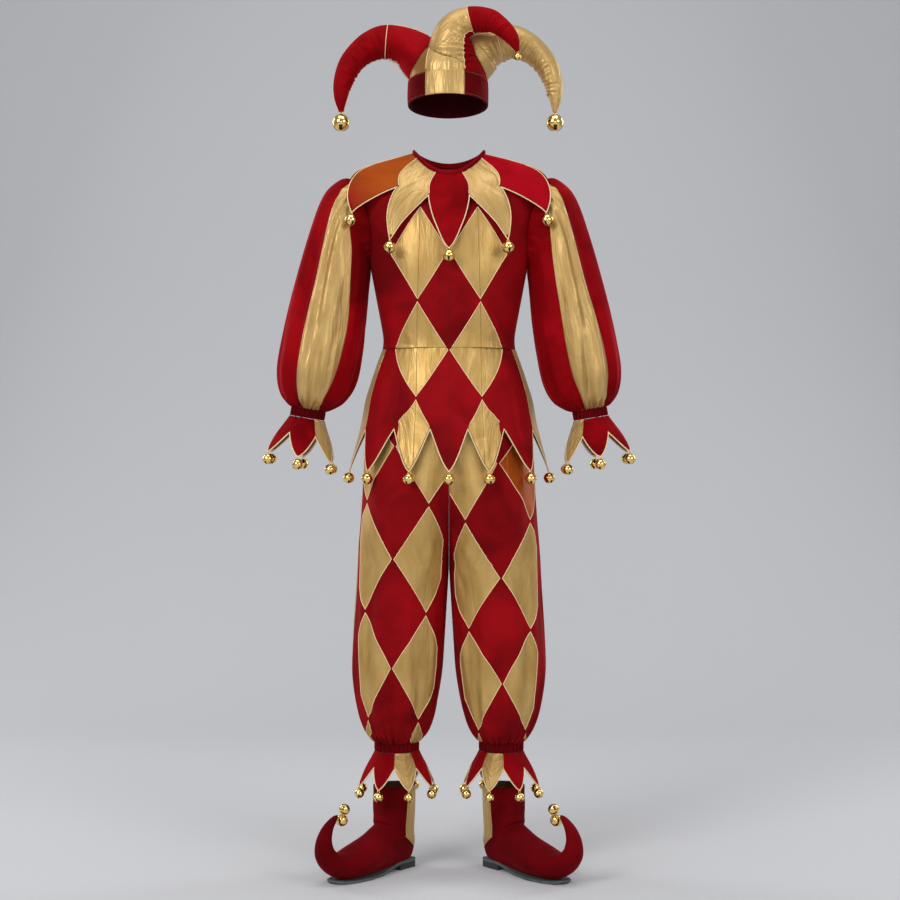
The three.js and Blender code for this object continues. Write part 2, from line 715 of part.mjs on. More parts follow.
// Stuffed horn: rings square to the path through the table's points, the tip closed
function horn(table, grow = 0) {
  const points = table.map(({ x, y, z }) => new THREE.Vector3(x, y, z));
  const path = new THREE.CatmullRomCurve3(points);
  const forward = new THREE.Vector3(0, -1, 0);
  const rings = table.map(({ r, deep }, k) => {
    const tangent = path.getTangent(k / (table.length - 1));
    const across = tangent.clone().cross(forward).normalize();
    const toFront = across.clone().cross(tangent).normalize();
    return Array.from({ length: HORN_SIDES }, (_, c) => {
      const angle = (2 * Math.PI * c) / HORN_SIDES;
      return points[k].clone()
        .addScaledVector(across, (r + grow) * Math.cos(angle))
        .addScaledVector(toFront, (deep + grow) * Math.sin(angle));
    });
  });
  return filled(rings);
}

const mirroredX = (table) => table.map((row) => ({ ...row, x: -row.x }));

// Bell of its own, its shank 0.3 mm under a horn's tip
function tipBell(table, radius, sides = 8) {
  const tip = table[table.length - 1];
  const down = new THREE.Vector3(0, 0, -1);
  return bell(new THREE.Vector3(tip.x, tip.y, tip.z - SEAM_GAP - 0.5), radius, down, sides);
}

// Boot, in a frame at the back of the heel on the floor: rings along the shaft, foot and curl.
// forward and up place the ring's middle, turn tips it from level (0) over upright (90) to the curl.
const BOOT = [
  { forward: 46, up: 170, turn: 0, wide: 40, deep: 46 },
  { forward: 46, up: 130, turn: 4, wide: 39, deep: 47 },
  { forward: 48, up: 92, turn: 18, wide: 37, deep: 50 },
  { forward: 52, up: 56, turn: 45, wide: 35, deep: 62 },
  { forward: 108, up: 44, turn: 78, wide: 38, deep: 42 },
  { forward: 165, up: 36, turn: 88, wide: 44, deep: 31 },
  { forward: 207, up: 32, turn: 94, wide: 38, deep: 27 },
  { forward: 240, up: 42, turn: 118, wide: 30, deep: 22 },
  { forward: 262, up: 64, turn: 152, wide: 23, deep: 18 },
  { forward: 265, up: 90, turn: 186, wide: 17, deep: 13.5 },
  { forward: 254, up: 112, turn: 210, wide: 12, deep: 9.5 },
  { forward: 236, up: 127, turn: 240, wide: 7, deep: 6 },
  { forward: 226, up: 132, turn: 250, wide: 3, deep: 3 },
];
const BOOT_SIDES = 12;
const BOOT_WALL = 2.5;
const BOOT_OPEN = 2;
const BOOT_HOLLOW_ROWS = 8;
const BOOT_PLACE = { x: 85, y: 37, turn: 37 };
const SOLE = [
  { forward: 3, half: 22, low: 12, high: 17 },
  { forward: 14, half: 29, low: 12, high: 17 },
  { forward: 62, half: 31, low: 12, high: 17 },
  { forward: 92, half: 32, low: 6, high: 11 },
  { forward: 122, half: 36, low: 0, high: 5 },
  { forward: 166, half: 43, low: 0, high: 5 },
  { forward: 206, half: 38, low: 0, high: 5 },
  { forward: 236, half: 26, low: 4, high: 9 },
  { forward: 256, half: 12, low: 14, high: 19 },
];
const HEEL = [{ forward: 3, half: 21.5 }, { forward: 14, half: 29.5 }, { forward: 62, half: 29.5 }];
const HEEL_TOP = 12 - SEAM_GAP;
const STRIPE_ON_BOOT = {
  from: -125, to: -82, lowest: 2.75, rows: 4, columns: 4, thick: 1.2, lift: 0.8,
};
// Block that clears the sole from the upper: behind the heel, past the sides, and below the floor
const CLEAR = { behind: 40, half: 90, low: -60, toeDrop: 12 };

function bootSurface(angle, row) {
  const turn = radians(along(BOOT, 'turn', row));
  const swing = along(BOOT, 'deep', row) * Math.cos(angle);
  return new THREE.Vector3(
    along(BOOT, 'wide', row) * Math.sin(angle),
    -along(BOOT, 'forward', row) - swing * Math.cos(turn),
    along(BOOT, 'up', row) + swing * Math.sin(turn),
  );
}

function bootBlock(rows, distance, extra = 0) {
  const rings = sheet({
    surface: bootSurface,
    rows,
    columns: BOOT_SIDES,
    at: (r, c) => [(2 * Math.PI * c) / BOOT_SIDES, r],
  }, distance);
  rings[0].forEach((p) => p.setZ(p.z + extra));
  return filled(rings);
}

// Slab through rows of four corners
function slab(table, half, low, high) {
  return filled(table.map((row) => [[-1, low], [1, low], [1, high], [-1, high]].map(
    ([sideways, height]) => new THREE.Vector3(sideways * half(row), -row.forward, height(row)),
  )));
}

function bootUpper() {
  const under = SOLE.map((row) => ({ ...row, high: row.high + SEAM_GAP }));
  under[0].forward = -CLEAR.behind;
  under[under.length - 1].high -= CLEAR.toeDrop;
  const below = slab(under, () => CLEAR.half, () => CLEAR.low, (row) => row.high);
  const hollow = bootBlock(BOOT_HOLLOW_ROWS, -BOOT_WALL, BOOT_OPEN);
  return cut(bootBlock(BOOT.length, 0), hollow, below);
}

function bootStripe() {
  const { from, to, lowest, rows, columns, thick, lift } = STRIPE_ON_BOOT;
  const patch = (distance) => sheet({
    surface: bootSurface,
    rows,
    columns,
    at: (r, c) => [radians(lerp(from, to, c / (columns - 1))), (r / (rows - 1)) * lowest],
  }, distance);
  return wallBetween(patch(lift + thick), patch(lift), false);
}

const bootHeel = () => slab(HEEL, (row) => row.half, () => 0, () => HEEL_TOP);

// Two bells on one link, sewn to the tip of the toe by a shank
const TOE_BELLS = [
  { sideways: 3, forward: 208, up: 121, radius: 12 },
  { sideways: -9, forward: 214, up: 145, radius: 11 },
];
const TOE_LINK = { link: 2, shank: 1.8, sides: 6 };
const TOE_BALL = { round: 7, tall: 4 };

function rod(from, to, radius) {
  const way = to.clone().sub(from);
  const turn = new THREE.Quaternion().setFromUnitVectors(
    new THREE.Vector3(0, 1, 0),
    way.clone().normalize(),
  );
  const middle = from.clone().lerp(to, 0.5);
  return new THREE.CylinderGeometry(radius, radius, way.length(), TOE_LINK.sides)
    .applyQuaternion(turn)
    .translate(middle.x, middle.y, middle.z);
}

function toeBells() {
  const ends = TOE_BELLS.map(({ sideways, forward, up }) => new THREE.Vector3(sideways, -forward, up));
  const balls = ends.map(({ x, y, z }, k) => new THREE.SphereGeometry(
    TOE_BELLS[k].radius,
    TOE_BALL.round,
    TOE_BALL.tall,
  ).translate(x, y, z));
  const tip = BOOT[BOOT.length - 1];
  const turn = radians(tip.turn);
  const onward = new THREE.Vector3(0, -Math.sin(turn), -Math.cos(turn));
  const start = new THREE.Vector3(0, -tip.forward, tip.up).addScaledVector(onward, 2 * SEAM_GAP);
  const middle = ends[0].clone().lerp(ends[1], 0.5);
  return join(...balls, rod(...ends, TOE_LINK.link), rod(start, middle, TOE_LINK.shank));
}

// Assembly
const costume = new THREE.Group();
const SIDES = [{ side: 'right', mirror: 1 }, { side: 'left', mirror: -1 }];

function sidedGroup(parent, mirror) {
  const group = new THREE.Group();
  group.scale.x = mirror;
  parent.add(group);
  return group;
}

function buildHat() {
  const hat = new THREE.Group();
  hat.position.set(HAT.x, 0, HAT.z);
  hat.rotation.x = radians(HAT.tilt);
  add(hat, 'hat_band_gold', bandPiece(GOLD_BAND.from, GOLD_BAND.to, 7), satin);
  add(hat, 'hat_band_red', bandPiece(GOLD_BAND.to, 360 + GOLD_BAND.from, 25), velvet);
  add(hat, 'hat_crown', crownWall(), satin);
  const dome = crownBlock(SEAM_GAP);
  const frontRoom = horn(HORN_FRONT, SEAM_GAP);
  add(hat, 'hat_horn_front', cut(horn(HORN_FRONT), dome), satin);
  add(hat, 'hat_horn_left', cut(horn(HORN_LEFT), dome, frontRoom), velvet);
  add(hat, 'hat_horn_right', cut(horn(mirroredX(HORN_LEFT)), dome, frontRoom), satin);
  add(hat, 'hat_bell_front', tipBell(HORN_FRONT, HAT_BELLS.front), brass);
  add(hat, 'hat_bell_left', tipBell(HORN_LEFT, HAT_BELLS.side), brass);
  add(hat, 'hat_bell_right', tipBell(mirroredX(HORN_LEFT), HAT_BELLS.side), brass);
  costume.add(hat);
}

function buildTunic() {
  const tunic = new THREE.Group();
  const armholes = SIDES.map(({ side, mirror }) => {
    const hollow = sleeveHollow(side);
    return mirror > 0 ? hollow : mirrored(hollow, 'x');
  });
  add(tunic, 'bodice_front', cut(bodicePiece(-1), ...armholes), velvet);
  add(tunic, 'bodice_back', cut(bodicePiece(1), ...armholes), velvet);
  add(tunic, 'neck_binding', neckBinding(), velvet);
  COLLAR.forEach((piece, k) => add(tunic, `collar_${piece.name}`, collarPiece(piece, k), piece.cloth));
  add(tunic, 'collar_trim', collarTrim(), piping);
  const { front, right, back } = PEPLUM_SEAMS;
  add(tunic, 'peplum_front', peplumPiece(0, front), velvet);
  add(tunic, 'peplum_right', peplumPiece(front, right), satin);
  add(tunic, 'peplum_back', peplumPiece(right, back), velvet);
  add(tunic, 'peplum_left', peplumPiece(back, PEPLUM_ROUND.length), satin);
  add(tunic, 'peplum_trim', peplumTrim(), piping);
  costume.add(tunic);
}

function buildSleeve({ side, mirror }) {
  const group = sidedGroup(costume, mirror);
  const block = mirror > 0 ? bodiceBlock() : mirrored(bodiceBlock(), 'x');
  const gold = wall(sleevePiece(side, 0, STRIPE_COLUMNS));
  const red = wall(sleevePiece(side, STRIPE_COLUMNS, SLEEVE_COLUMNS));
  add(group, `sleeve_${side}_gold`, cut(gold, block), satin);
  add(group, `sleeve_${side}_red`, cut(red, block), velvet);
  const end = SLEEVE[SLEEVE.length - 1];
  const cuff = new THREE.Group();
  cuff.position.set((end.outX + end.inX) / 2, 0, (end.outZ + end.inZ) / 2);
  const lean = Math.atan2(end.outZ - end.inZ, end.outX - end.inX);
  cuff.rotation.y = -lean;
  group.add(cuff);
  const down = new THREE.Vector3(0, 0, -1).applyAxisAngle(new THREE.Vector3(0, 1, 0), lean);
  add(cuff, `cuff_band_${side}`, elasticBand(end.deep), elastic);
  add(cuff, `cuff_frill_${side}`, frillWall(CUFF_FRILL), velvet);
  add(cuff, `cuff_trim_${side}`, frillTrim(CUFF_FRILL, down), piping);
}

function buildLeg({ side, mirror }) {
  const group = sidedGroup(costume, mirror);
  add(group, `trousers_front_${side}`, trouserPiece(-1), velvet);
  add(group, `trousers_back_${side}`, trouserPiece(1), velvet);
  const ankle = new THREE.Group();
  ankle.position.set(ANKLE.x, 0, ANKLE.z);
  group.add(ankle);
  const down = new THREE.Vector3(0, 0, -1);
  add(ankle, `ankle_band_${side}`, elasticBand(ANKLE.radius), elastic);
  add(ankle, `ankle_frill_${side}`, frillWall(ANKLE_FRILL), velvet);
  add(ankle, `ankle_trim_${side}`, frillTrim(ANKLE_FRILL, down), piping);
}

function buildBoot({ side, mirror }) {
  const boot = new THREE.Group();
  boot.position.set(BOOT_PLACE.x, BOOT_PLACE.y, FLOOR);
  boot.rotation.z = radians(BOOT_PLACE.turn);
  sidedGroup(costume, mirror).add(boot);
  add(boot, `boot_${side}_upper`, bootUpper(), velvet);
  add(boot, `boot_${side}_stripe`, bootStripe(), satin);
  const sole = slab(SOLE, (row) => row.half, (row) => row.low, (row) => row.high);
  add(boot, `boot_${side}_sole`, sole, rubber);
  add(boot, `boot_${side}_heel`, bootHeel(), rubber);
  add(boot, `boot_${side}_bells`, toeBells(), brass);
}

buildHat();
buildTunic();
SIDES.forEach(buildSleeve);
SIDES.forEach(buildLeg);
SIDES.forEach(buildBoot);

export default costume;
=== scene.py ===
"""Looks of a jester costume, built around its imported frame.

Every garment is made again as a thin shell on the form of its solid, with its folds, gathers,
piping, stitches and bells. Sizes are in millimetres until a mesh is made, and in metres in Blender.
The costume faces -Y, +X is to the viewer's right and the origin is the middle of the neck opening.
"""

import logging
import math
from dataclasses import dataclass, field, replace
from enum import Enum
from typing import Callable, Optional, Sequence

import bmesh
import bpy
import numpy as np
from mathutils import Matrix, Vector


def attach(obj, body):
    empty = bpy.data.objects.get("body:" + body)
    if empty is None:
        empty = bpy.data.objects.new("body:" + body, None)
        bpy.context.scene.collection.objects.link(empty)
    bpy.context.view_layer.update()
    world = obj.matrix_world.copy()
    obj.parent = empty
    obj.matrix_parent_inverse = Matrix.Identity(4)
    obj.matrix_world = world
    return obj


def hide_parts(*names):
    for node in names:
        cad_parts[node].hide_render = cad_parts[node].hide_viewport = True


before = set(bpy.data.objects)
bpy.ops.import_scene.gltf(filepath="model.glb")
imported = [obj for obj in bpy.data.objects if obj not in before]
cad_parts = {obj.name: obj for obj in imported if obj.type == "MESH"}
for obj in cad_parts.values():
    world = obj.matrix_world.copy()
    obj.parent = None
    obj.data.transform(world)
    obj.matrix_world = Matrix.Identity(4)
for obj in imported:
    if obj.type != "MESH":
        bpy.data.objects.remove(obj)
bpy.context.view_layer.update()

Array = np.ndarray
Place = Callable[[Array, Array], Array]
log = logging.getLogger("costume")

MM = 0.001
TURN = 2 * math.pi
QUARTER = math.pi / 2
STILL = Matrix.Identity(4)
TINY = 1e-9
WELD = 2e-6
CLOTH = 2.0
INNER_SHARE = 0.92
RIDGE_POWER, FADE_POWER = 0.8, 1.6
GAP = 0.15
FLOOR = -1460.0
CORD_SIDES = 5
DIAMOND_CORD, DIAMOND_LIFT = 0.95, 0.35
HAT_CORD = 0.85
STITCH_PITCH, STITCH_LIFT, THREAD = 3.4, 0.1, 0.32


class Side(Enum):
    """Which half of the costume a piece is on, as a viewer in front of it sees it."""

    RIGHT = "right"
    LEFT = "left"

    def pick(self, right: object, left: object) -> object:
        """One of two values, by the side."""
        return right if self is Side.RIGHT else left

    @property
    def mirror(self) -> float:
        """Factor on X that turns a right-hand piece into this side's."""
        return self.pick(1.0, -1.0)


class Finish(Enum):
    """Finishes, each with the record's slot that it belongs to."""

    VELVET = "red_velvet"
    SATIN = "gold_satin"
    ELASTIC = "red_elastic"
    BINDING = "red_binding"
    PIPING = "gold_piping"
    BRASS = "bell_brass"
    SOLE = "sole_rubber"


def along(column: Sequence[float], row: Array) -> Array:
    """Reads a column of a table at fractional rows, smooth through the rows.

    Args:
        column: The values, one for each row of the table.
        row: Fractional rows.

    Returns:
        The values there.
    """
    values = np.asarray(column, float)
    last = len(values) - 1
    first = np.clip(np.floor(row).astype(int), 0, last - 1)
    part = row - first
    a, b, c, d = (values[np.clip(first + k, 0, last)] for k in (-1, 0, 1, 2))
    bend = 2 * a - 5 * b + 4 * c - d + part * (3 * (b - c) + d - a)
    return b + 0.5 * part * (c - a + part * bend)


def sent(points: Array, matrix: Matrix, mirror: float = 1.0, depth: float = 1.0) -> Array:
    """The points turned and moved by a matrix in mm, then mirrored in X or in depth."""
    turn, shift = np.array(matrix.to_3x3()), np.array(matrix.translation)
    return (points @ turn.T + shift) * (mirror, depth, 1.0)


def blend(a: Array, b: Array, part: Array) -> Array:
    """Value between a and b."""
    return a + (b - a) * part


def smooth(low: float, high: float, value: Array) -> Array:
    """Soft step from 0 at low to 1 at high."""
    part = np.clip((value - low) / (high - low), 0.0, 1.0)
    return part * part * (3 - 2 * part)


def unit(vectors: Array) -> Array:
    """The vectors at length 1."""
    return vectors / np.maximum(np.linalg.norm(vectors, axis=-1, keepdims=True), TINY)


# Surfaces


def grid(rows: int, columns: int) -> tuple[Array, Array]:
    """Parts from 0 to 1 down and across a grid of that many faces.

    Args:
        rows: Faces down.
        columns: Faces across.

    Returns:
        The parts, one value for each point.
    """
    down, across = np.meshgrid(np.linspace(0, 1, rows + 1), np.linspace(0, 1, columns + 1),
                               indexing="ij")
    return down, across


class Form:
    """A surface whose table has one value of deep for each of its rows."""

    deep: Sequence[float]

    @property
    def last(self) -> float:
        """Last row of the table."""
        return len(self.deep) - 1.0

    def room(self, rows: int, columns: int, end: float, grow: float) -> Array:
        """Rings of the surface down to a row, moved out by a distance.

        Args:
            rows: Faces down.
            columns: Faces round.
            end: Row at which the rings end.
            grow: The distance.

        Returns:
            The rings, one row each.
        """
        down, across = grid(rows, columns)
        angle, row = TURN * across, end * down
        return self.place(angle, row) + facing_out(self.place, angle, row) * grow


@dataclass(frozen=True)
class Rings(Form):
    """Elliptical rings: half-width, half-depth, and heights at the side, front and back."""

    wide: Sequence[float]
    deep: Sequence[float]
    side: Sequence[float]
    front: Optional[Sequence[float]] = None
    back: Optional[Sequence[float]] = None
    squareness: float = 1.0

    def place(self, angle: Array, row: Array) -> Array:
        """Points at an angle (0 front, a quarter turn at +X) and a fractional row.

        Args:
            angle: Angle round the surface, in radians.
            row: Fractional row of the table.

        Returns:
            The points.
        """
        sine, cosine = np.sin(angle), np.cos(angle)
        side = along(self.side, row)
        front = along(self.front or self.side, row)
        back = along(self.back or self.side, row)
        end = np.where(cosine > 0, front, back)
        return np.stack([
            along(self.wide, row) * np.sign(sine) * np.abs(sine) ** self.squareness,
            -along(self.deep, row) * np.sign(cosine) * np.abs(cosine) ** self.squareness,
            side + (end - side) * cosine ** 2,
        ], -1)


def facing_out(place: Place, u: Array, v: Array) -> Array:
    """Normals of a surface.

    Args:
        place: The surface.
        u: Places across it.
        v: Places down it.

    Returns:
        Directions of length 1.
    """
    step = 1e-3
    across = place(u + step, v) - place(u - step, v)
    down = place(u, v + step) - place(u, v - step)
    return unit(np.cross(down, across))


@dataclass(frozen=True)
class Fold:
    """A soft ridge (height above 0) or trough between two places of a surface.

    fade is 0 for a fold that dies away at both ends, and 1 for one that is full at its start.
    """

    start: tuple[float, float]
    end: tuple[float, float]
    width: float
    height: float
    fade: float = 0.0

    def relief(self, place: Place, u: Array, v: Array) -> Array:
        """Height of the fold at places of the surface.

        Args:
            place: The surface.
            u: Places across it.
            v: Places down it.

        Returns:
            Heights in mm.
        """
        a, b = np.array(self.start), np.array(self.end)
        middle = (a + b) / 2
        m, n = np.array([middle[0]]), np.array([middle[1]])
        step = 1e-2
        across = np.linalg.norm(place(m + step, n) - place(m - step, n)) / (2 * step)
        down = np.linalg.norm(place(m, n + step) - place(m, n - step)) / (2 * step)
        scale = np.array([across, down])
        way = (b - a) * scale
        length = max(float(np.linalg.norm(way)), 1e-6)
        way = way / length
        x, y = (u - a[0]) * scale[0], (v - a[1]) * scale[1]
        onward = (x * way[0] + y * way[1]) / length
        aside = x * way[1] - y * way[0]
        both = np.sin(np.pi * np.clip(onward, 0, 1)) ** RIDGE_POWER
        full = np.where(onward < 0, np.exp(-((onward * length / self.width) ** 2)),
                        np.clip(1 - onward, 0, 1) ** FADE_POWER)
        lengthways = blend(both, full, self.fade)
        return self.height * lengthways * np.exp(-((aside / self.width) ** 2))


def total(folds: Sequence[Fold], place: Place, u: Array, v: Array) -> Array:
    """Height of all the folds together.

    Args:
        folds: The folds.
        place: The surface.
        u: Places across it.
        v: Places down it.

    Returns:
        Heights in mm.
    """
    height = np.zeros(np.broadcast(u, v).shape)
    for fold in folds:
        height = height + fold.relief(place, u, v)
    return height


def gathers(
    seed: int, count: int, span: tuple[float, float], rows: tuple[float, float],
    width: float, height: float,
) -> list[Fold]:
    """Gathers that start at a seam and die away, uneven in place, length and depth.

    Args:
        seed: Start of the random numbers.
        count: Ridges, with a trough beside each.
        span: Where they begin and end across the surface.
        rows: Row of the seam, and mean row that they reach.
        width: Mean half-width of a ridge.
        height: Mean height of a ridge.

    Returns:
        The folds.
    """
    rng = np.random.default_rng(seed)
    pitch = (span[1] - span[0]) / count
    folds = []
    for k in range(count):
        at = span[0] + pitch * (k + 0.5 + rng.uniform(-0.22, 0.22))
        reach = rows[0] + (rows[1] - rows[0]) * rng.uniform(0.55, 1.35)
        drift = pitch * rng.uniform(-0.5, 0.5)
        size = rng.uniform(0.65, 1.3)
        folds.append(Fold((at, rows[0]), (at + drift, reach), width * rng.uniform(0.8, 1.2),
                          height * size, 1.0))
        folds.append(Fold((at + pitch / 2, rows[0]), (at + pitch / 2 + drift / 2, reach),
                          width * rng.uniform(0.6, 0.9), -0.7 * height * size, 1.0))
    return folds


# Panels of cloth


@dataclass
class Panel:
    """A grid of points on a cloth's outer face and the same grid on its inner one, in mm."""

    outer: Array
    inner: Array
    tube: bool = False
    lattice: Optional[Array] = None
    gold: Optional[Array] = None
    loops: list = field(default_factory=list)

    @property
    def rows(self) -> int:
        """Points down the grid."""
        return self.outer.shape[0]

    @property
    def columns(self) -> int:
        """Points across the grid."""
        return self.outer.shape[1]

    def outward(self) -> Array:
        """Directions out of the cloth."""
        return unit(self.outer - self.inner)

    def flow(self) -> Array:
        """Lengths across and down the cloth, in metres, for its weave.

        Returns:
            The two lengths at each point.
        """
        steps = np.linalg.norm(np.diff(self.outer, axis=1), axis=2)
        across = np.concatenate([np.zeros((self.rows, 1)), np.cumsum(steps, 1)], 1)
        across -= across[:, -1:] / 2
        steps = np.linalg.norm(np.diff(self.outer, axis=0), axis=2)
        down = np.concatenate([np.zeros((1, self.columns)), np.cumsum(steps, 0)], 0)
        return np.stack([across, -down], -1) * MM

    def sample(self, row: Array, column: Array, lift: float = 0.0) -> tuple[Array, Array]:
        """Points and outward directions at fractional rows and columns of the grid.

        Args:
            row: Fractional rows.
            column: Fractional columns.
            lift: How far the points are off the cloth.

        Returns:
            The points and the directions.
        """
        row, column = np.asarray(row, float), np.asarray(column, float)
        r = np.clip(np.floor(row).astype(int), 0, self.rows - 2)
        c = np.clip(np.floor(column).astype(int), 0, self.columns - 2)
        fr, fc = (row - r)[..., None], (column - c)[..., None]

        def read(grid: Array) -> Array:
            """Value between the four nearest points of a grid."""
            top = blend(grid[r, c], grid[r, c + 1], fc)
            return blend(top, blend(grid[r + 1, c], grid[r + 1, c + 1], fc), fr)

        normal = unit(read(self.outward()))
        return read(self.outer) + normal * lift, normal

    def lay_diamonds(self, diamonds: "Diamonds", points: Array) -> tuple[Array, Array]:
        """Sets out a lattice of diamonds on the cloth and returns its u and v.

        Args:
            diamonds: The lattice.
            points: The cloth's points before its folds.

        Returns:
            u and v at each point.
        """
        u, v = diamonds.fit(points)
        self.lattice = diamonds.lattice(u, v)
        self.loops = diamonds.loops(u, v)
        return u, v

    def cut(self) -> tuple[float, float, float]:
        """Width, length and area of the flat cloth, in metres and square metres.

        Returns:
            The width, the length and the area.
        """
        middle = (self.outer + self.inner) / 2
        across = np.linalg.norm(np.diff(middle, axis=1), axis=2)
        down = np.linalg.norm(np.diff(middle, axis=0), axis=2)
        a = np.cross(middle[1:, 1:] - middle[:-1, :-1], middle[1:, :-1] - middle[:-1, 1:])
        area = float(np.linalg.norm(a, axis=2).sum() / 2) * MM * MM
        width, length = float(across.sum(1).max()) * MM, float(down.sum(0).max()) * MM
        scale = max(1.0, math.sqrt(area / (width * length)))
        return width * scale, length * scale, area


def panel(
    place: Place, u: Array, v: Array, folds: Sequence[Fold] = (), thick: float = CLOTH,
    tube: bool = False, extra: Optional[Array] = None, calm: Optional[Array] = None,
) -> Panel:
    """Lays a grid of cloth on a surface.

    Args:
        place: The surface.
        u: Across, one value for each point of the grid.
        v: Down, the same.
        folds: Its folds.
        thick: Thickness of the cloth.
        tube: Whether the last column joins the first.
        extra: More height at each point.
        calm: Share of the folds' height that each point keeps.

    Returns:
        The panel.
    """
    base, normal = place(u, v), facing_out(place, u, v)
    height = total(folds, place, u, v)
    if calm is not None:
        height = height * calm
    if extra is not None:
        height = height + extra
    outer = base + normal * (height + thick / 2)[..., None]
    inner = base + normal * (height * INNER_SHARE - thick / 2)[..., None]
    if tube:
        outer[:, -1], inner[:, -1] = outer[:, 0], inner[:, 0]
    return Panel(outer, inner, tube)


@dataclass
class Skin:
    """Faces and corner coordinates of a mesh while it is put together."""

    points: list[Array] = field(default_factory=list)
    faces: list[tuple[int, ...]] = field(default_factory=list)
    finish: list[int] = field(default_factory=list)
    count: int = 0

    def add(self, points: Array, faces: Sequence[Sequence[int]], finish: int = 0) -> None:
        """Adds a body of points in mm and its faces.

        Args:
            points: Its points.
            faces: Its faces, by the numbers of their points.
            finish: Finish number of its faces.
        """
        self.points.append(np.asarray(points, float).reshape(-1, 3))
        self.faces += [tuple(int(k) + self.count for k in f) for f in faces]
        self.finish += [finish] * len(faces)
        self.count += len(self.points[-1])

    def moved(self, matrix: Matrix, mirror: float = 1.0) -> "Skin":
        """The skin turned and moved by a matrix in mm, then mirrored in X."""
        points = [sent(part, matrix, mirror) for part in self.points]
        return replace(self, points=points)


class Workshop:
    """Turns skins and panels into objects that ride on the frame."""

    def __init__(self, materials: dict[str, bpy.types.Material]) -> None:
        """Keeps the materials."""
        self.materials = materials
        self.made: list[str] = []

    def build(
        self, name: str, skin: Skin, finishes: Sequence[str], slot: Finish,
        maps: Optional[dict[str, Array]] = None, weld: bool = False, smooth_faces: bool = True,
    ) -> bpy.types.Object:
        """Makes an object of a skin, facing out, in place of the solid of its name, if any.

        Args:
            name: Name of the piece.
            skin: Its points and faces.
            finishes: Names of its materials, in the order of the skin's finish numbers.
            slot: Not used.
            maps: Coordinates for each point, by the name of the map.
            weld: Whether points at one place are joined.
            smooth_faces: Whether the faces are shaded smooth.

        Returns:
            The object.
        """
        mesh = bpy.data.meshes.new(name)
        points = np.concatenate(skin.points) * MM
        mesh.from_pydata(points.tolist(), [], skin.faces)
        for key in finishes:
            mesh.materials.append(self.materials[key])
        mesh.polygons.foreach_set("material_index", skin.finish)
        corners = np.fromiter((k for f in skin.faces for k in f), int)
        for key, values in (maps or {}).items():
            layer = mesh.uv_layers.new(name=key)
            layer.uv.foreach_set("vector", values[corners].astype(np.float32).ravel())
        face_out(mesh, weld)
        mesh.polygons.foreach_set("use_smooth", [smooth_faces] * len(mesh.polygons))
        piece = bpy.data.objects.new(name, mesh)
        bpy.context.scene.collection.objects.link(piece)
        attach(piece, "root")
        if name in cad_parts:
            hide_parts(name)
        self.made.append(name)
        log.info("%s: %d faces", name, len(mesh.polygons))
        return piece

    def cloth(
        self, name: str, cloth: Panel, finishes: Sequence[str], slot: Finish, held: str,
        rests_on: Sequence[str] = (), declare: bool = True,
    ) -> bpy.types.Object:
        """Makes a shell of a panel.

        Args:
            name: Name of the piece.
            cloth: The panel.
            finishes: Materials of the outer face, by the panel's finish numbers, and the lining.
            slot: Slot of the record.
            held: Not used.
            rests_on: Not used.
            declare: Not used.

        Returns:
            The object.
        """
        skin, flow, lattice = shell(cloth, len(finishes) - 1)
        maps = {"Flow": flow}
        if lattice is not None:
            maps["Lattice"] = lattice
        piece = self.build(name, skin, finishes, slot, maps, weld=cloth.tube)
        return piece


def face_out(mesh: bpy.types.Mesh, weld: bool) -> None:
    """Joins points at one place where asked, and turns closed faces outwards.

    Args:
        mesh: The mesh.
        weld: Whether points are joined.
    """
    made = bmesh.new()
    made.from_mesh(mesh)
    if weld:
        bmesh.ops.remove_doubles(made, verts=made.verts, dist=WELD)
    bmesh.ops.recalc_face_normals(made, faces=made.faces)
    made.to_mesh(mesh)
    made.free()


def shell(cloth: Panel, lining: int) -> tuple[Skin, Array, Optional[Array]]:
    """Closed thin body of a panel. The inner face has half as many rows and columns.

    Args:
        cloth: The panel.
        lining: Finish number of the inner faces and edges.

    Returns:
        The skin, its flow map and its lattice map.
    """
    rows, columns = cloth.rows - 1, cloth.columns - 1
    wide = cloth.columns
    half = columns // 2 + 1
    start = cloth.rows * wide
    faces: list[tuple[int, ...]] = []
    finish: list[int] = []
    gold = cloth.gold
    for r in range(rows):
        base = r * wide
        for c in range(columns):
            k = base + c
            faces.append((k, k + wide, k + wide + 1, k + 1))
            finish.append(int(gold[r, c]) if gold is not None else 0)
    for r in range(rows // 2):
        base = start + r * half
        for c in range(columns // 2):
            k = base + c
            faces.append((k, k + 1, k + half + 1, k + half))
    last_outer, last_inner = rows * wide, start + (rows // 2) * half
    for c in range(columns // 2):
        k, n = 2 * c, start + c
        faces.append((n + 1, n, k, k + 1, k + 2))
        k, n = last_outer + 2 * c, last_inner + c
        faces.append((n, n + 1, k + 2, k + 1, k))
    for r in range(0 if cloth.tube else rows // 2):
        k, n = 2 * r * wide, start + r * half
        faces.append((n, n + half, k + 2 * wide, k + wide, k))
        k, n = 2 * r * wide + columns, start + r * half + half - 1
        faces.append((n + half, n, k, k + wide, k + 2 * wide))
    finish += [lining] * (len(faces) - len(finish))
    skin = Skin()
    inner = cloth.inner[::2, ::2]
    skin.add(np.concatenate([cloth.outer.reshape(-1, 3), inner.reshape(-1, 3)]), faces)
    skin.finish = finish
    flow = cloth.flow()
    maps = [np.concatenate([m.reshape(-1, 2), m[::2, ::2].reshape(-1, 2)])
            for m in (flow, cloth.lattice) if m is not None]
    return skin, maps[0], maps[1] if len(maps) > 1 else None


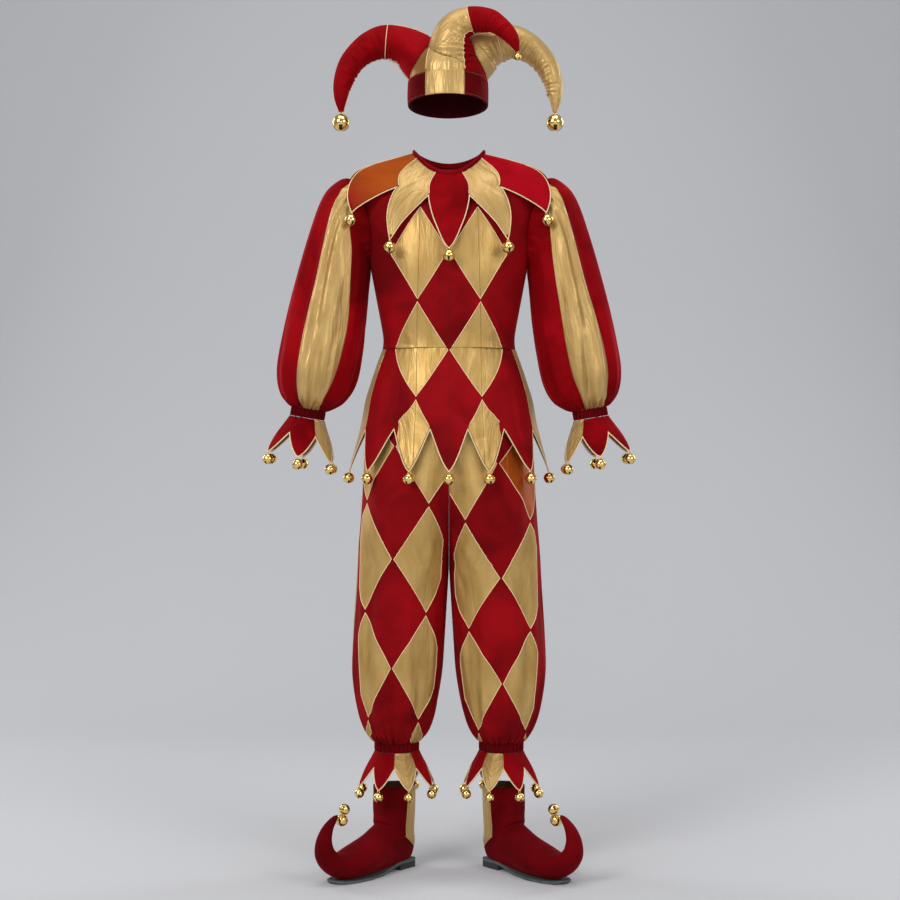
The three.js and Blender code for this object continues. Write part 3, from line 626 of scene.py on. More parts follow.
def moved(cloth: Panel, matrix: Matrix, mirror: float = 1.0, depth: float = 1.0) -> Panel:
    """The panel turned and moved by a matrix in mm, then mirrored in X or in depth."""
    outer, inner = (sent(face, matrix, mirror, depth) for face in (cloth.outer, cloth.inner))
    return replace(cloth, outer=outer, inner=inner)


# Cords, stitches and bells


def sweep(path: Array, normal: Array, radius: float, sides: int,
          closed: bool) -> tuple[Array, list]:
    """Points and faces of a cord that follows a path, mitred at its corners.

    Args:
        path: Its middle.
        normal: Directions out of the cloth along it.
        radius: Its radius.
        sides: Faces round it.
        closed: Whether its end joins its start.

    Returns:
        The points and the faces.
    """
    count = len(path)
    if closed:
        before, after = path - np.roll(path, 1, 0), np.roll(path, -1, 0) - path
    else:
        steps = np.diff(path, axis=0)
        before = np.concatenate([steps[:1], steps])
        after = np.concatenate([steps, steps[-1:]])
    before, after = unit(before), unit(after)
    onward = unit(before + after)
    aside = unit(np.cross(onward, normal))
    up = unit(np.cross(aside, onward))
    stretch = np.minimum(1 / np.maximum((onward * after).sum(1), 0.35), 2.0)[:, None]
    angles = TURN * np.arange(sides) / sides
    rings = [path + radius * (math.cos(a) * aside * stretch + math.sin(a) * up) for a in angles]
    points = np.stack(rings, 1).reshape(-1, 3)
    faces = []
    for k in range(count if closed else count - 1):
        n = (k + 1) % count
        for s in range(sides):
            t = (s + 1) % sides
            faces.append((k * sides + s, k * sides + t, n * sides + t, n * sides + s))
    if not closed:
        faces.append(tuple(range(sides - 1, -1, -1)))
        faces.append(tuple((count - 1) * sides + s for s in range(sides)))
    return points, faces


def stitch_row(skin: Skin, cloth: Panel, row: Array, column: Array) -> None:
    """Adds stitches, each a small spindle, along fractional rows and columns of a panel.

    Args:
        skin: What it is added to.
        cloth: The panel.
        row: Fractional rows.
        column: Fractional columns.
    """
    path, normal = cloth.sample(row, column, STITCH_LIFT)
    steps = np.linalg.norm(np.diff(path, axis=0), axis=1)
    length = np.concatenate([[0], np.cumsum(steps)])
    count = max(int(length[-1] / STITCH_PITCH), 1)
    starts = (np.arange(count) + 0.2) * length[-1] / count
    ends = starts + 0.62 * length[-1] / count
    a, b, n = (np.stack([np.interp(at, length, values[:, k]) for k in range(3)], 1)
               for at, values in ((starts, path), (ends, path), ((starts + ends) / 2, normal)))
    middle = (a + b) / 2
    aside = unit(np.cross(b - a, n))
    ring = [middle + THREAD * aside, middle + 0.7 * THREAD * n, middle - THREAD * aside,
            middle - 0.5 * THREAD * n]
    points = np.stack([a, b, *ring], 1).reshape(-1, 3)
    faces = []
    for k in range(count):
        o = 6 * k
        for s in range(4):
            t = (s + 1) % 4
            faces += [(o, o + 2 + s, o + 2 + t), (o + 1, o + 2 + t, o + 2 + s)]
    skin.add(points, faces)


@dataclass(frozen=True)
class Bell:
    """A stamped jingle bell: two half balls with a rolled seam, a crossed slot pressed in and
    painted near black as the shade inside the bell, and a loop.
    """

    round_sides: int = 24
    rings: int = 14
    slot_rings: int = 5
    loop_sides: int = 10
    ridge_height: float = 0.035
    ridge_width: float = 0.09
    slot_size: float = 0.9
    crown: float = 0.96
    neck: float = 4.0

    def body(self) -> tuple[Array, list, list]:
        """Points, faces and finish numbers of a bell of radius 1, hanging down -Z.

        Returns:
            The points, the faces and the finish numbers.
        """
        points: list[list[float]] = [[0, 0, -1]]
        count, sides = self.rings, self.round_sides
        for k in range(1, count):
            polar = math.pi * k / count
            ridge = 1 + self.ridge_height * math.exp(
                -((polar - QUARTER) / self.ridge_width) ** 2)
            for s in range(sides):
                a = TURN * (s + 0.5) / sides
                in_slot = k < self.slot_rings and s % (sides // 4) == 0
                size = ridge * (self.slot_size if in_slot else 1.0)
                points.append([size * math.sin(polar) * math.cos(a),
                               size * math.sin(polar) * math.sin(a), -size * math.cos(polar)])
        points.append([0, 0, 1])
        faces, finish = [], []
        for s in range(sides):
            t = (s + 1) % sides
            top = 1 + (count - 2) * sides
            faces += [(0, 1 + t, 1 + s), (top + s, top + t, len(points) - 1)]
            finish += [0, 0]
        for k in range(count - 2):
            for s in range(sides):
                t = (s + 1) % sides
                a, b = 1 + k * sides, 1 + (k + 1) * sides
                faces.append((a + s, a + t, b + t, b + s))
                # Slot faces take finish 1, painted near black as the shade inside the bell in place
                # of an opening.
                slot = k < self.slot_rings - 1 and (s % (sides // 4) == 0 or t % (sides // 4) == 0)
                finish.append(1 if slot else 0)
        return np.array(points), faces, finish

    def ball(self, skin: Skin, middle: Array, radius: float, axis: Array,
             turn: float) -> tuple[Array, Array]:
        """Adds the bell's body alone and returns its two sideways directions.

        Args:
            skin: What it is added to.
            middle: Its middle.
            radius: Its radius.
            axis: Direction from its loop to its slot.
            turn: Its turn about that direction.

        Returns:
            The two directions.
        """
        body, faces, finish = self.body()
        side = unit(np.cross(axis, [0.3, 1.0, 0.1]))
        other = np.cross(side, axis)
        c, s = math.cos(turn), math.sin(turn)
        x, y = side * c + other * s, other * c - side * s
        skin.add(body @ np.stack([x, y, -axis]) * radius + middle, faces)
        skin.finish[len(skin.finish) - len(faces):] = finish
        return x, y

    def hang(self, skin: Skin, top: Array, radius: float, down: Array, turn: float) -> None:
        """Adds a bell whose loop is sewn on at a point.

        Args:
            skin: Where it is added.
            top: The point.
            radius: Its radius.
            down: Direction in which it hangs.
            turn: Its turn about that direction.
        """
        axis = unit(np.asarray(down, float))
        middle = np.asarray(top) + axis * (self.neck + self.crown * radius)
        x, y = self.ball(skin, middle, radius, axis, turn)
        loop = np.arange(self.loop_sides) * TURN / self.loop_sides
        size = 0.5 * self.neck + 0.4
        ring = middle - axis * (self.crown * radius + 0.42 * self.neck)
        path = ring + size * (np.cos(loop)[:, None] * x - np.sin(loop)[:, None] * axis)
        normal = np.repeat(y[None], len(path), 0)
        skin.add(*sweep(path, normal, 0.62, CORD_SIDES, True))
        thread = np.stack([np.asarray(top) - axis * 0.6,
                           np.asarray(top) + axis * 0.35 * self.neck])
        skin.add(*sweep(thread, np.repeat(y[None], 2, 0), 0.8, 6, False), 2)


BELL = Bell()
BELL_FINISHES = ("brass", "slot_dark", "thread")
TRIM_RADIUS = 1.25
MITRE_LIMIT = 3.0


def beside(path: Array, normal: Array, distance: float) -> Array:
    """A closed hem that runs to +X in front, moved sideways out of its cloth and mitred.

    Args:
        path: Points of the hem.
        normal: Directions out of the cloth along it.
        distance: How far it moves.

    Returns:
        The moved points.
    """
    before, after = path - np.roll(path, 1, 0), np.roll(path, -1, 0) - path
    side_before, side_after = unit(np.cross(before, normal)), unit(np.cross(after, normal))
    outward = unit(side_before + side_after)
    mitre = np.minimum(1 / np.maximum((outward * side_before).sum(1), 0.2), MITRE_LIMIT)
    return path + outward * (distance * mitre)[:, None]


@dataclass
class Trim:
    """Piped edge with bells: a cord along a closed hem, and a bell hung on it at every tip."""

    path: Array
    normal: Array
    tips: Sequence[int]
    bell: float
    down: tuple[float, float, float] = (0.0, 0.0, -1.0)
    lean: float = 0.0
    seed: int = 0

    def build(self, shop: Workshop, kind: str, end: str = "", at: Matrix = STILL,
              mirror: float = 1.0) -> None:
        """Makes the cord and the bells.

        Args:
            shop: Where they are made.
            kind: First word of their names.
            end: End of their names.
            at: Frame that they are in.
            mirror: Factor on X.
        """
        middle = beside(self.path, self.normal, TRIM_RADIUS + 2 * GAP)
        cord, bells = Skin(), Skin()
        cord.add(*sweep(middle, self.normal, TRIM_RADIUS, 6, True))
        rng = np.random.default_rng(self.seed)
        for tip in self.tips:
            down = np.array(self.down) + self.lean * self.normal[tip]
            BELL.hang(bells, middle[tip], self.bell, down, rng.uniform(0, QUARTER))
        shop.build(f"{kind}_trim{end}", cord.moved(at, mirror), ("piping",), Finish.PIPING)
        shop.build(f"{kind}_bells{end}", bells.moved(at, mirror), BELL_FINISHES, Finish.BRASS)


# Finishes


class Nodes:
    """Places and joins nodes in one tree."""

    def __init__(self, tree: bpy.types.NodeTree) -> None:
        """Keeps the tree."""
        self.tree = tree

    def add(self, kind: str, values: Optional[dict] = None, **settings: object) -> bpy.types.Node:
        """Adds a node, sets its properties, and sets or joins its inputs.

        Args:
            kind: Type of the node.
            values: Its inputs.
            **settings: Its properties.

        Returns:
            The node.
        """
        node = self.tree.nodes.new(kind)
        for key, value in settings.items():
            setattr(node, key, value)
        for key, value in (values or {}).items():
            self.feed(node.inputs[key], value)
        return node

    def feed(self, socket: bpy.types.NodeSocket, value: object) -> None:
        """Sets an input, or joins it to another node's output.

        Args:
            socket: The input.
            value: A value or an output.
        """
        if isinstance(value, bpy.types.NodeSocket):
            self.tree.links.new(value, socket)
        else:
            socket.default_value = value

    def math(self, operation: str, a: object, b: object = 0.0, c: object = 0.0) -> object:
        """Output of a Math node."""
        node = self.add("ShaderNodeMath", {0: a, 1: b, 2: c}, operation=operation)
        return node.outputs[0]

    def mix(self, part: object, a: object, b: object) -> object:
        """Colour between a and b.

        Args:
            part: Share of b.
            a: First colour.
            b: Second colour.

        Returns:
            The colour.
        """
        node = self.add("ShaderNodeMix", data_type="RGBA")
        for index, value in ((0, part), (6, a), (7, b)):
            self.feed(node.inputs[index], value)
        return node.outputs[2]

    def between(self, part: object, a: object, b: object) -> object:
        """Number between a and b.

        Args:
            part: Share of b.
            a: First number.
            b: Second number.

        Returns:
            The number.
        """
        node = self.add("ShaderNodeMix", data_type="FLOAT")
        for index, value in ((0, part), (2, a), (3, b)):
            self.feed(node.inputs[index], value)
        return node.outputs[0]

    def noise(self, where: object, scale: object, detail: float = 3.0, rough: float = 0.5,
              warp: float = 0.0) -> object:
        """Value of a noise from 0 to 1.

        Args:
            where: Coordinates.
            scale: Its scale.
            detail: Its octaves.
            rough: Share of the finer octaves.
            warp: Its distortion.

        Returns:
            The value.
        """
        node = self.add("ShaderNodeTexNoise", {"Vector": where, "Scale": scale, "Detail": detail,
                                               "Roughness": rough, "Distortion": warp})
        return node.outputs[0]

    def axes(self, where: object) -> bpy.types.NodeOutputs:
        """The three parts of a vector."""
        return self.add("ShaderNodeSeparateXYZ", {0: where}).outputs

    def stretched(self, where: object, size: object) -> object:
        """Coordinates multiplied by a size."""
        node = self.add("ShaderNodeVectorMath", {0: where, 1: size}, operation="MULTIPLY")
        return node.outputs[0]

    def ramp(self, value: object, low: float, high: float) -> object:
        """Value from 0 at low to 1 at high, held in that range."""
        node = self.add("ShaderNodeMapRange", {0: value, 1: low, 2: high}, clamp=True)
        return node.outputs[0]


def group(name: str, inputs: dict[str, object], outputs: dict[str, str]) -> tuple:
    """Starts a node group with named inputs and outputs.

    Args:
        name: Its name.
        inputs: Default of each input: a number, a colour of 4 or a vector of 3.
        outputs: Kind of each output.

    Returns:
        The tree, its helper, the node that gives the inputs and the one that takes the outputs.
    """
    tree = bpy.data.node_groups.new(name, "ShaderNodeTree")
    kinds = {4: "NodeSocketColor", 3: "NodeSocketVector"}
    for key, value in inputs.items():
        size = len(value) if isinstance(value, tuple) else 1
        socket = tree.interface.new_socket(key, in_out="INPUT",
                                           socket_type=kinds.get(size, "NodeSocketFloat"))
        socket.default_value = value
    for key, kind in outputs.items():
        tree.interface.new_socket(key, in_out="OUTPUT", socket_type=kind)
    nodes = Nodes(tree)
    start, end = nodes.add("NodeGroupInput"), nodes.add("NodeGroupOutput")
    return tree, nodes, start.outputs, end.inputs


NUMBER, COLOUR, VECTOR = "NodeSocketFloat", "NodeSocketColor", "NodeSocketVector"
BLACK = (0.0, 0.0, 0.0, 1.0)


def pile_and_painted_light_group() -> bpy.types.NodeTree:
    """Velvet pile: a fine nap, and patches whose colour is painted between the lit and the shaded
    tone, as painted light and shade.

    Returns:
        The group.
    """
    tree, n, given, out = group(
        "Pile", {"Place": (0.0, 0.0, 0.0), "Lit": BLACK, "Shade": BLACK, "Brush": 9.0},
        {"Colour": COLOUR, "Roughness": NUMBER, "Height": NUMBER})
    wide = n.noise(given["Place"], given["Brush"], 4.0, warp=0.6)
    nap = n.noise(n.stretched(given["Place"], (1.0, 1.0, 0.35)), 900.0, 2.0)
    # The patches mix the lit and the shaded tone: painted light and shade.
    patch = n.math("MULTIPLY_ADD", n.ramp(wide, 0.34, 0.68), 0.78, n.math("MULTIPLY", nap, 0.22))
    n.feed(out["Colour"], n.mix(patch, given["Shade"], given["Lit"]))
    n.feed(out["Roughness"], n.between(patch, 0.92, 0.74))
    n.feed(out["Height"], n.math("MULTIPLY_ADD", wide, 0.8, n.math("MULTIPLY", nap, 0.25)))
    return tree


def weave_and_painted_glints_group() -> bpy.types.NodeTree:
    """Satin weave: long floats of thread across a map in metres, with slubs, and soft glints
    painted as streaks from the shaded to the lit tone.

    Returns:
        The group.
    """
    tree, n, given, out = group(
        "Weave", {"Flow": (0.0, 0.0, 0.0), "Threads": 2600.0, "Lit": BLACK, "Shade": BLACK},
        {"Colour": COLOUR, "Roughness": NUMBER, "Height": NUMBER})
    axes = n.axes(given["Flow"])
    warp = n.math("SINE", n.math("MULTIPLY", axes[0], given["Threads"]))
    weft = n.math("SINE", n.math("MULTIPLY", axes[1], given["Threads"]))
    threads = n.math("MULTIPLY_ADD", warp, 0.35, n.math("MULTIPLY", weft, 0.65))
    slub = n.noise(n.stretched(given["Flow"], (30.0, 420.0, 1.0)), 1.0, 3.0)
    cloud = n.noise(n.stretched(given["Flow"], (34.0, 12.0, 1.0)), 1.0, 3.0)
    # Streaks from the shaded to the lit tone: painted glints and shade.
    tone = n.math("MULTIPLY_ADD", n.ramp(cloud, 0.3, 0.7), 0.7, n.math("MULTIPLY", slub, 0.3))
    n.feed(out["Colour"], n.mix(tone, given["Shade"], given["Lit"]))
    n.feed(out["Roughness"], n.between(tone, 0.46, 0.33))
    n.feed(out["Height"], n.math("MULTIPLY_ADD", threads, 0.06, n.math("MULTIPLY", slub, 0.3)))
    return tree


def creases_group() -> bpy.types.NodeTree:
    """Small creases that run down the cloth, too fine for its folds.

    Returns:
        The group.
    """
    tree, n, given, out = group(
        "Creases", {"Flow": (0.0, 0.0, 0.0), "Across": 55.0, "Down": 9.0}, {"Height": NUMBER})
    size = n.add("ShaderNodeCombineXYZ", {0: given["Across"], 1: given["Down"], 2: 1.0})
    rough = n.noise(n.stretched(given["Flow"], size.outputs[0]), 1.0, 2.5, warp=0.8)
    ridge = n.math("ABSOLUTE", n.math("SUBTRACT", rough, 0.5))
    n.feed(out["Height"], n.math("SUBTRACT", 1.0, n.ramp(ridge, 0.0, 0.22)))
    return tree


def harlequin_group() -> bpy.types.NodeTree:
    """Diamonds: 1 inside each gold diamond of a lattice whose edges lie at whole numbers.

    Returns:
        The group.
    """
    tree, n, given, out = group(
        "Harlequin", {"Lattice": (0.0, 0.0, 0.0), "Low": -2.0, "High": 2.0, "Inset": 0.012,
                      "Seam": 0.011}, {"Mask": NUMBER, "Groove": NUMBER})
    axes = n.axes(given["Lattice"])
    u = n.math("SUBTRACT", axes[0], axes[1])
    parts, cells = [], []
    for axis in axes[:2]:
        cells.append(n.math("FLOOR", axis))
        off = n.math("ABSOLUTE", n.math("SUBTRACT", n.math("FRACT", axis), 0.5))
        parts.append(n.math("LESS_THAN", off, n.math("SUBTRACT", 0.5, given["Inset"])))
    odd = n.math("MODULO", n.math("ABSOLUTE", n.math("SUBTRACT", *cells)), 2.0)
    parts += [n.math("GREATER_THAN", odd, 0.5), n.math("GREATER_THAN", u, given["Low"]),
              n.math("LESS_THAN", u, given["High"])]
    mask = parts[0]
    for part in parts[1:]:
        mask = n.math("MULTIPLY", mask, part)
    n.feed(out["Mask"], mask)
    off = n.math("ABSOLUTE", n.math("SUBTRACT", u, n.math("ROUND", u)))
    near = n.math("LESS_THAN", n.math("ABSOLUTE", u), 1.5)
    groove = n.math("SUBTRACT", 1.0, n.math("MINIMUM", n.math("DIVIDE", off, given["Seam"]), 1.0))
    n.feed(out["Groove"], n.math("MULTIPLY", groove, near))
    return tree


def ribs_group() -> bpy.types.NodeTree:
    """Ribs of an elastic band across a map in metres, with sewn rows along it, and a mask that is 0
    in the troughs between ribs, where shade is painted.

    Returns:
        The group.
    """
    tree, n, given, out = group(
        "Ribs", {"Flow": (0.0, 0.0, 0.0), "Pitch": 0.0042},
        {"Height": NUMBER, "Mask": NUMBER})
    axes = n.axes(given["Flow"])
    wave = n.math("SINE", n.math("MULTIPLY", n.math("DIVIDE", axes[0], given["Pitch"]), TURN))
    rows = n.math("SINE", n.math("MULTIPLY", axes[1], TURN / 0.0065))
    sewn = n.ramp(rows, 0.75, 1.0)
    n.feed(out["Height"], n.math("SUBTRACT", wave, n.math("MULTIPLY", sewn, 0.8)))
    n.feed(out["Mask"], n.ramp(wave, -0.9, 0.6))
    return tree


def tarnish_and_painted_shade_group() -> bpy.types.NodeTree:
    """Handling marks on metal and rubber: soft dull patches, their colour painted in the shaded
    tone, and fine scratches.

    Returns:
        The group.
    """
    tree, n, given, out = group(
        "Tarnish", {"Place": (0.0, 0.0, 0.0), "Scale": 120.0, "Lit": BLACK, "Shade": BLACK,
                    "Amount": 0.3},
        {"Colour": COLOUR, "Mask": NUMBER, "Height": NUMBER})
    patch = n.noise(given["Place"], given["Scale"], 4.0, 0.6)
    fine = n.noise(n.stretched(given["Place"], (1.0, 6.0, 2.0)), 700.0, 2.0)
    mask = n.math("MULTIPLY", n.ramp(patch, 0.42, 0.75), given["Amount"])
    # The marks are duller, and their colour goes from the lit to the shaded tone: painted shade.
    n.feed(out["Colour"], n.mix(mask, given["Lit"], given["Shade"]))
    n.feed(out["Mask"], mask)
    n.feed(out["Height"], n.math("MULTIPLY_ADD", fine, 0.2, n.math("MULTIPLY", patch, 0.4)))
    return tree


@dataclass(frozen=True)
class Colour:
    """The lit and the shaded tone of a finish, in linear light."""

    lit: tuple[float, float, float]
    shade: tuple[float, float, float]

    @property
    def tones(self) -> dict[str, tuple[float, float, float, float]]:
        """Both tones as inputs of a group."""
        return {"Lit": (*self.lit, 1.0), "Shade": (*self.shade, 1.0)}


RED = Colour((0.33, 0.0006, 0.004), (0.12, 0.0, 0.0015))
DARK_RED = Colour((0.26, 0.0006, 0.005), (0.11, 0.0, 0.002))
GOLD = Colour((0.62, 0.405, 0.145), (0.40, 0.235, 0.062))
# Gold satin painted brownish, as it looks in shade, for the sides of the hat's crown.
SHADED_GOLD = Colour((0.40, 0.19, 0.035), (0.25, 0.10, 0.015))
# Burnt orange: the left shoulder point's own tone, and also the gold of the right leg's upper outer
# diamond painted as in shade.
RUST_AND_SHADED_GOLD = Colour((0.42, 0.085, 0.006), (0.28, 0.045, 0.003))
# Dark brown painted into the seam grooves as their shade.
SEAM_SHADE = (0.08, 0.02, 0.01, 1.0)
PILE_DEPTH, WEAVE_DEPTH, RIB_DEPTH = 0.0006, 0.0002, 0.0005


class Finishes:
    """Builds the shader groups once and every material from them."""

    def __init__(self) -> None:
        """Builds the groups."""
        self.groups = {tree.name: tree for tree in (
            pile_and_painted_light_group(), weave_and_painted_glints_group(), creases_group(), harlequin_group(), ribs_group(),
            tarnish_and_painted_shade_group())}
        self.made: dict[str, bpy.types.Material] = {}

    def start(self, name: str, **values: object) -> tuple[Nodes, bpy.types.Node]:
        """Starts a material with a Principled BSDF whose sockets take the values.

        Args:
            name: Its name.
            **values: Values of the shader's sockets.

        Returns:
            Its nodes and its shader.
        """
        material = bpy.data.materials.new(name)
        material.use_nodes = True
        material.node_tree.nodes.clear()
        nodes = Nodes(material.node_tree)
        shader = nodes.add("ShaderNodeBsdfPrincipled")
        nodes.add("ShaderNodeOutputMaterial", {"Surface": shader.outputs[0]})
        for key, value in values.items():
            shader.inputs[key.replace("_", " ")].default_value = value
        self.made[name] = material
        return nodes, shader

    def use(self, nodes: Nodes, name: str, **values: object) -> bpy.types.NodeInputs:
        """Places a group and returns its outputs.

        Args:
            nodes: The material's nodes.
            name: Name of the group.
            **values: Its inputs.

        Returns:
            Its outputs.
        """
        node = nodes.add("ShaderNodeGroup", node_tree=self.groups[name])
        for key, value in values.items():
            nodes.feed(node.inputs[key], value)
        return node.outputs

    @staticmethod
    def where(nodes: Nodes) -> object:
        """Place on the costume, in metres."""
        return nodes.add("ShaderNodeTexCoord").outputs["Object"]

    @staticmethod
    def map(nodes: Nodes, name: str) -> object:
        """One of the maps that a piece carries."""
        return nodes.add("ShaderNodeUVMap", uv_map=name).outputs[0]

    @staticmethod
    def join(nodes: Nodes, shader: bpy.types.Node, colour: object, rough: object,
             height: object, distance: float = 1.0) -> None:
        """Feeds colour, roughness and relief to the shader.

        Args:
            nodes: The material's nodes.
            shader: Its shader.
            colour: Its colour.
            rough: Its roughness.
            height: Its relief.
            distance: Metres for each unit of relief.
        """
        bump = nodes.add("ShaderNodeBump", {"Height": height, "Distance": distance,
                                            "Strength": 1.0})
        for key, value in (("Base Color", colour), ("Roughness", rough),
                           ("Normal", bump.outputs[0])):
            nodes.feed(shader.inputs[key], value)

    def velvet(self, name: str, colour: Colour, sheen: float = 0.5) -> None:
        """Plain velvet.

        Args:
            name: Its name.
            colour: Its tones.
            sheen: Weight of its sheen.
        """
        nodes, shader = self.start(name, Sheen_Weight=sheen, Sheen_Roughness=0.3,
                                   Sheen_Tint=(1.0, 0.03, 0.05, 1.0), Specular_IOR_Level=0.06)
        pile = self.use(nodes, "Pile", Place=self.where(nodes), **colour.tones)
        self.join(nodes, shader, pile["Colour"], pile["Roughness"], pile["Height"], PILE_DEPTH)

    def satin(self, name: str, colour: Colour, metal: float = 0.42, crease: float = 0.0009) -> None:
        """Plain satin with fine creases.

        Args:
            name: Its name.
            colour: Its tones.
            metal: How metallic it is.
            crease: Depth of its creases, in metres.
        """
        nodes, shader = self.start(name, Sheen_Weight=0.1, Metallic=metal, Sheen_Roughness=0.4)
        flow = self.map(nodes, "Flow")
        weave = self.use(nodes, "Weave", Flow=flow, **colour.tones)
        creases = self.use(nodes, "Creases", Flow=flow)
        height = nodes.math("MULTIPLY_ADD", creases["Height"], crease,
                            nodes.math("MULTIPLY", weave["Height"], WEAVE_DEPTH))
        self.join(nodes, shader, weave["Colour"], weave["Roughness"], height)

    def harlequin(self, name: str, low: float, high: float, gold: Colour = GOLD,
                  seam: float = 0.0) -> None:
        """Velvet with satin diamonds between two lines of the lattice, and seams on its lines that
        are sunk and painted darker as shade.

        Args:
            name: Its name.
            low: Lowest u with gold.
            high: Highest u with gold.
            gold: Tones of the gold diamonds.
            seam: Share of the full depth of its seams and of their painted shade.
        """
        nodes, shader = self.start(name, Sheen_Weight=0.25, Sheen_Roughness=0.3,
                                   Sheen_Tint=(1.0, 0.05, 0.05, 1.0), Specular_IOR_Level=0.1)
        flow = self.map(nodes, "Flow")
        pile = self.use(nodes, "Pile", Place=self.where(nodes), **RED.tones)
        weave = self.use(nodes, "Weave", Flow=flow, **gold.tones)
        creases = self.use(nodes, "Creases", Flow=flow)
        cells = self.use(nodes, "Harlequin", Lattice=self.map(nodes, "Lattice"), Low=low,
                         High=high)
        mask = cells["Mask"]
        groove = nodes.math("MULTIPLY", cells["Groove"], seam)
        # The seam grooves are painted darker as their shade.
        colour = nodes.mix(nodes.math("MULTIPLY", groove, 0.55),
                           nodes.mix(mask, pile["Colour"], weave["Colour"]), SEAM_SHADE)
        nodes.feed(shader.inputs["Metallic"], nodes.math("MULTIPLY", mask, 0.4))
        satin = nodes.math("MULTIPLY_ADD", creases["Height"], 0.0005,
                           nodes.math("MULTIPLY", weave["Height"], WEAVE_DEPTH))
        height = nodes.between(mask, nodes.math("MULTIPLY", pile["Height"], PILE_DEPTH), satin)
        height = nodes.math("SUBTRACT", height, nodes.math("MULTIPLY", groove, PILE_DEPTH))
        rough = nodes.between(mask, pile["Roughness"], weave["Roughness"])
        self.join(nodes, shader, colour, rough, height)

    def elastic(self, name: str, colour: Colour) -> None:
        """Ribbed elastic under velvet, with shade painted near black in the troughs between its
        ribs.

        Args:
            name: Its name.
            colour: Its tones.
        """
        nodes, shader = self.start(name, Sheen_Weight=0.35, Sheen_Roughness=0.4,
                                   Sheen_Tint=(1.0, 0.04, 0.06, 1.0), Specular_IOR_Level=0.06)
        ribs = self.use(nodes, "Ribs", Flow=self.map(nodes, "Flow"))
        pile = self.use(nodes, "Pile", Place=self.where(nodes), **colour.tones)
        # The troughs between the ribs are painted near black as their shade.
        tone = nodes.mix(ribs["Mask"], (0.03, 0.0, 0.001, 1.0), pile["Colour"])
        self.join(nodes, shader, tone, pile["Roughness"], ribs["Height"], RIB_DEPTH)

    def rubbed(self, name: str, colour: Colour, rough: float, metal: float, scale: float,
               amount: float, bump: float) -> None:
        """Metal, rubber or cord with handling marks, whose colour is painted in its shaded tone.

        Args:
            name: Its name.
            colour: Its tones.
            rough: Its roughness.
            metal: How metallic it is.
            scale: Scale of its marks.
            amount: Strength of its marks.
            bump: Metres for each unit of relief.
        """
        nodes, shader = self.start(name, Metallic=metal)
        marks = self.use(nodes, "Tarnish", Place=self.where(nodes), Scale=scale, Amount=amount,
                         **colour.tones)
        dull = nodes.math("MULTIPLY_ADD", marks["Mask"], 0.3, rough)
        self.join(nodes, shader, marks["Colour"], dull, marks["Height"], bump)

    def shaded(self, name: str, fall: float) -> None:
        """Velvet that goes from a rust tone at the neck to red at the point.

        Args:
            name: Its name.
            fall: Length of the change, in metres.
        """
        nodes, shader = self.start(name, Sheen_Weight=0.3, Sheen_Roughness=0.35,
                                   Sheen_Tint=(1.0, 0.15, 0.03, 1.0), Specular_IOR_Level=0.1)
        place = self.where(nodes)
        rust = self.use(nodes, "Pile", Place=place, **RUST_AND_SHADED_GOLD.tones)
        red = self.use(nodes, "Pile", Place=place, **RED.tones)
        down = nodes.axes(self.map(nodes, "Flow"))[1]
        part = nodes.ramp(nodes.math("MULTIPLY", down, -1.0), 0.5 * fall, fall)
        colour = nodes.mix(part, rust["Colour"], red["Colour"])
        self.join(nodes, shader, colour, rust["Roughness"], rust["Height"], PILE_DEPTH)

    def all(self) -> dict[str, bpy.types.Material]:
        """Every material by its name.

        Returns:
            The materials.
        """
        self.velvet("velvet", RED)
        self.velvet("dark_red_velvet", Colour((0.15, 0.0004, 0.003), (0.06, 0.0, 0.001)))
        self.velvet("boot_velvet", Colour((0.17, 0.0004, 0.003), (0.07, 0.0, 0.001)), 0.3)
        self.satin("satin", GOLD)
        self.satin("bronze_satin", SHADED_GOLD)
        # The lining is gold satin painted dark golden brown, as it looks in shade.
        self.satin("lining", Colour((0.20, 0.10, 0.03), (0.10, 0.045, 0.012)), 0.0, 0.0003)
        self.velvet("backing", Colour((0.07, 0.002, 0.005), (0.035, 0.0, 0.002)), 0.1)
        self.shaded("rust_velvet", 0.2)
        self.harlequin("tunic_diamonds", -2.0, 2.0, seam=1.0)
        self.harlequin("trouser_diamonds", -1.6, 1.42)
        # Diamonds whose gold is painted rust as in shade, for the right leg's upper outer diamond.
        self.harlequin("rust_diamonds", -1.6, 1.42, RUST_AND_SHADED_GOLD)
        self.elastic("elastic", DARK_RED)
        self.velvet("binding", DARK_RED, 0.3)
        self.velvet("bright_velvet", Colour((0.42, 0.001, 0.008), (0.24, 0.0, 0.004)))
        self.rubbed("thread", Colour((0.62, 0.40, 0.16), (0.40, 0.23, 0.07)), 0.6, 0.0, 800.0,
                    0.6, 0.0002)
        self.rubbed("piping", Colour((0.86, 0.62, 0.34), (0.62, 0.38, 0.16)), 0.45, 0.0, 500.0,
                    0.5, 0.0003)
        self.rubbed("brass", Colour((0.95, 0.66, 0.22), (0.55, 0.33, 0.09)), 0.1, 1.0, 90.0,
                    0.25, 0.00003)
        # Near black, painted on the bell slots as the shade inside the bell.
        self.rubbed("slot_dark", Colour((0.02, 0.012, 0.004), (0.01, 0.006, 0.002)), 0.6, 0.3,
                    90.0, 0.3, 0.0)
        self.rubbed("sole", Colour((0.085, 0.105, 0.095), (0.05, 0.06, 0.055)), 0.75, 0.0, 60.0,
                    0.7, 0.0004)
        self.rubbed("heel", Colour((0.028, 0.03, 0.034), (0.015, 0.016, 0.018)), 0.7, 0.0, 60.0,
                    0.6, 0.0004)
        return self.made


# Diamonds

EYE = 3900.0
EYE_HEIGHT = -604.75


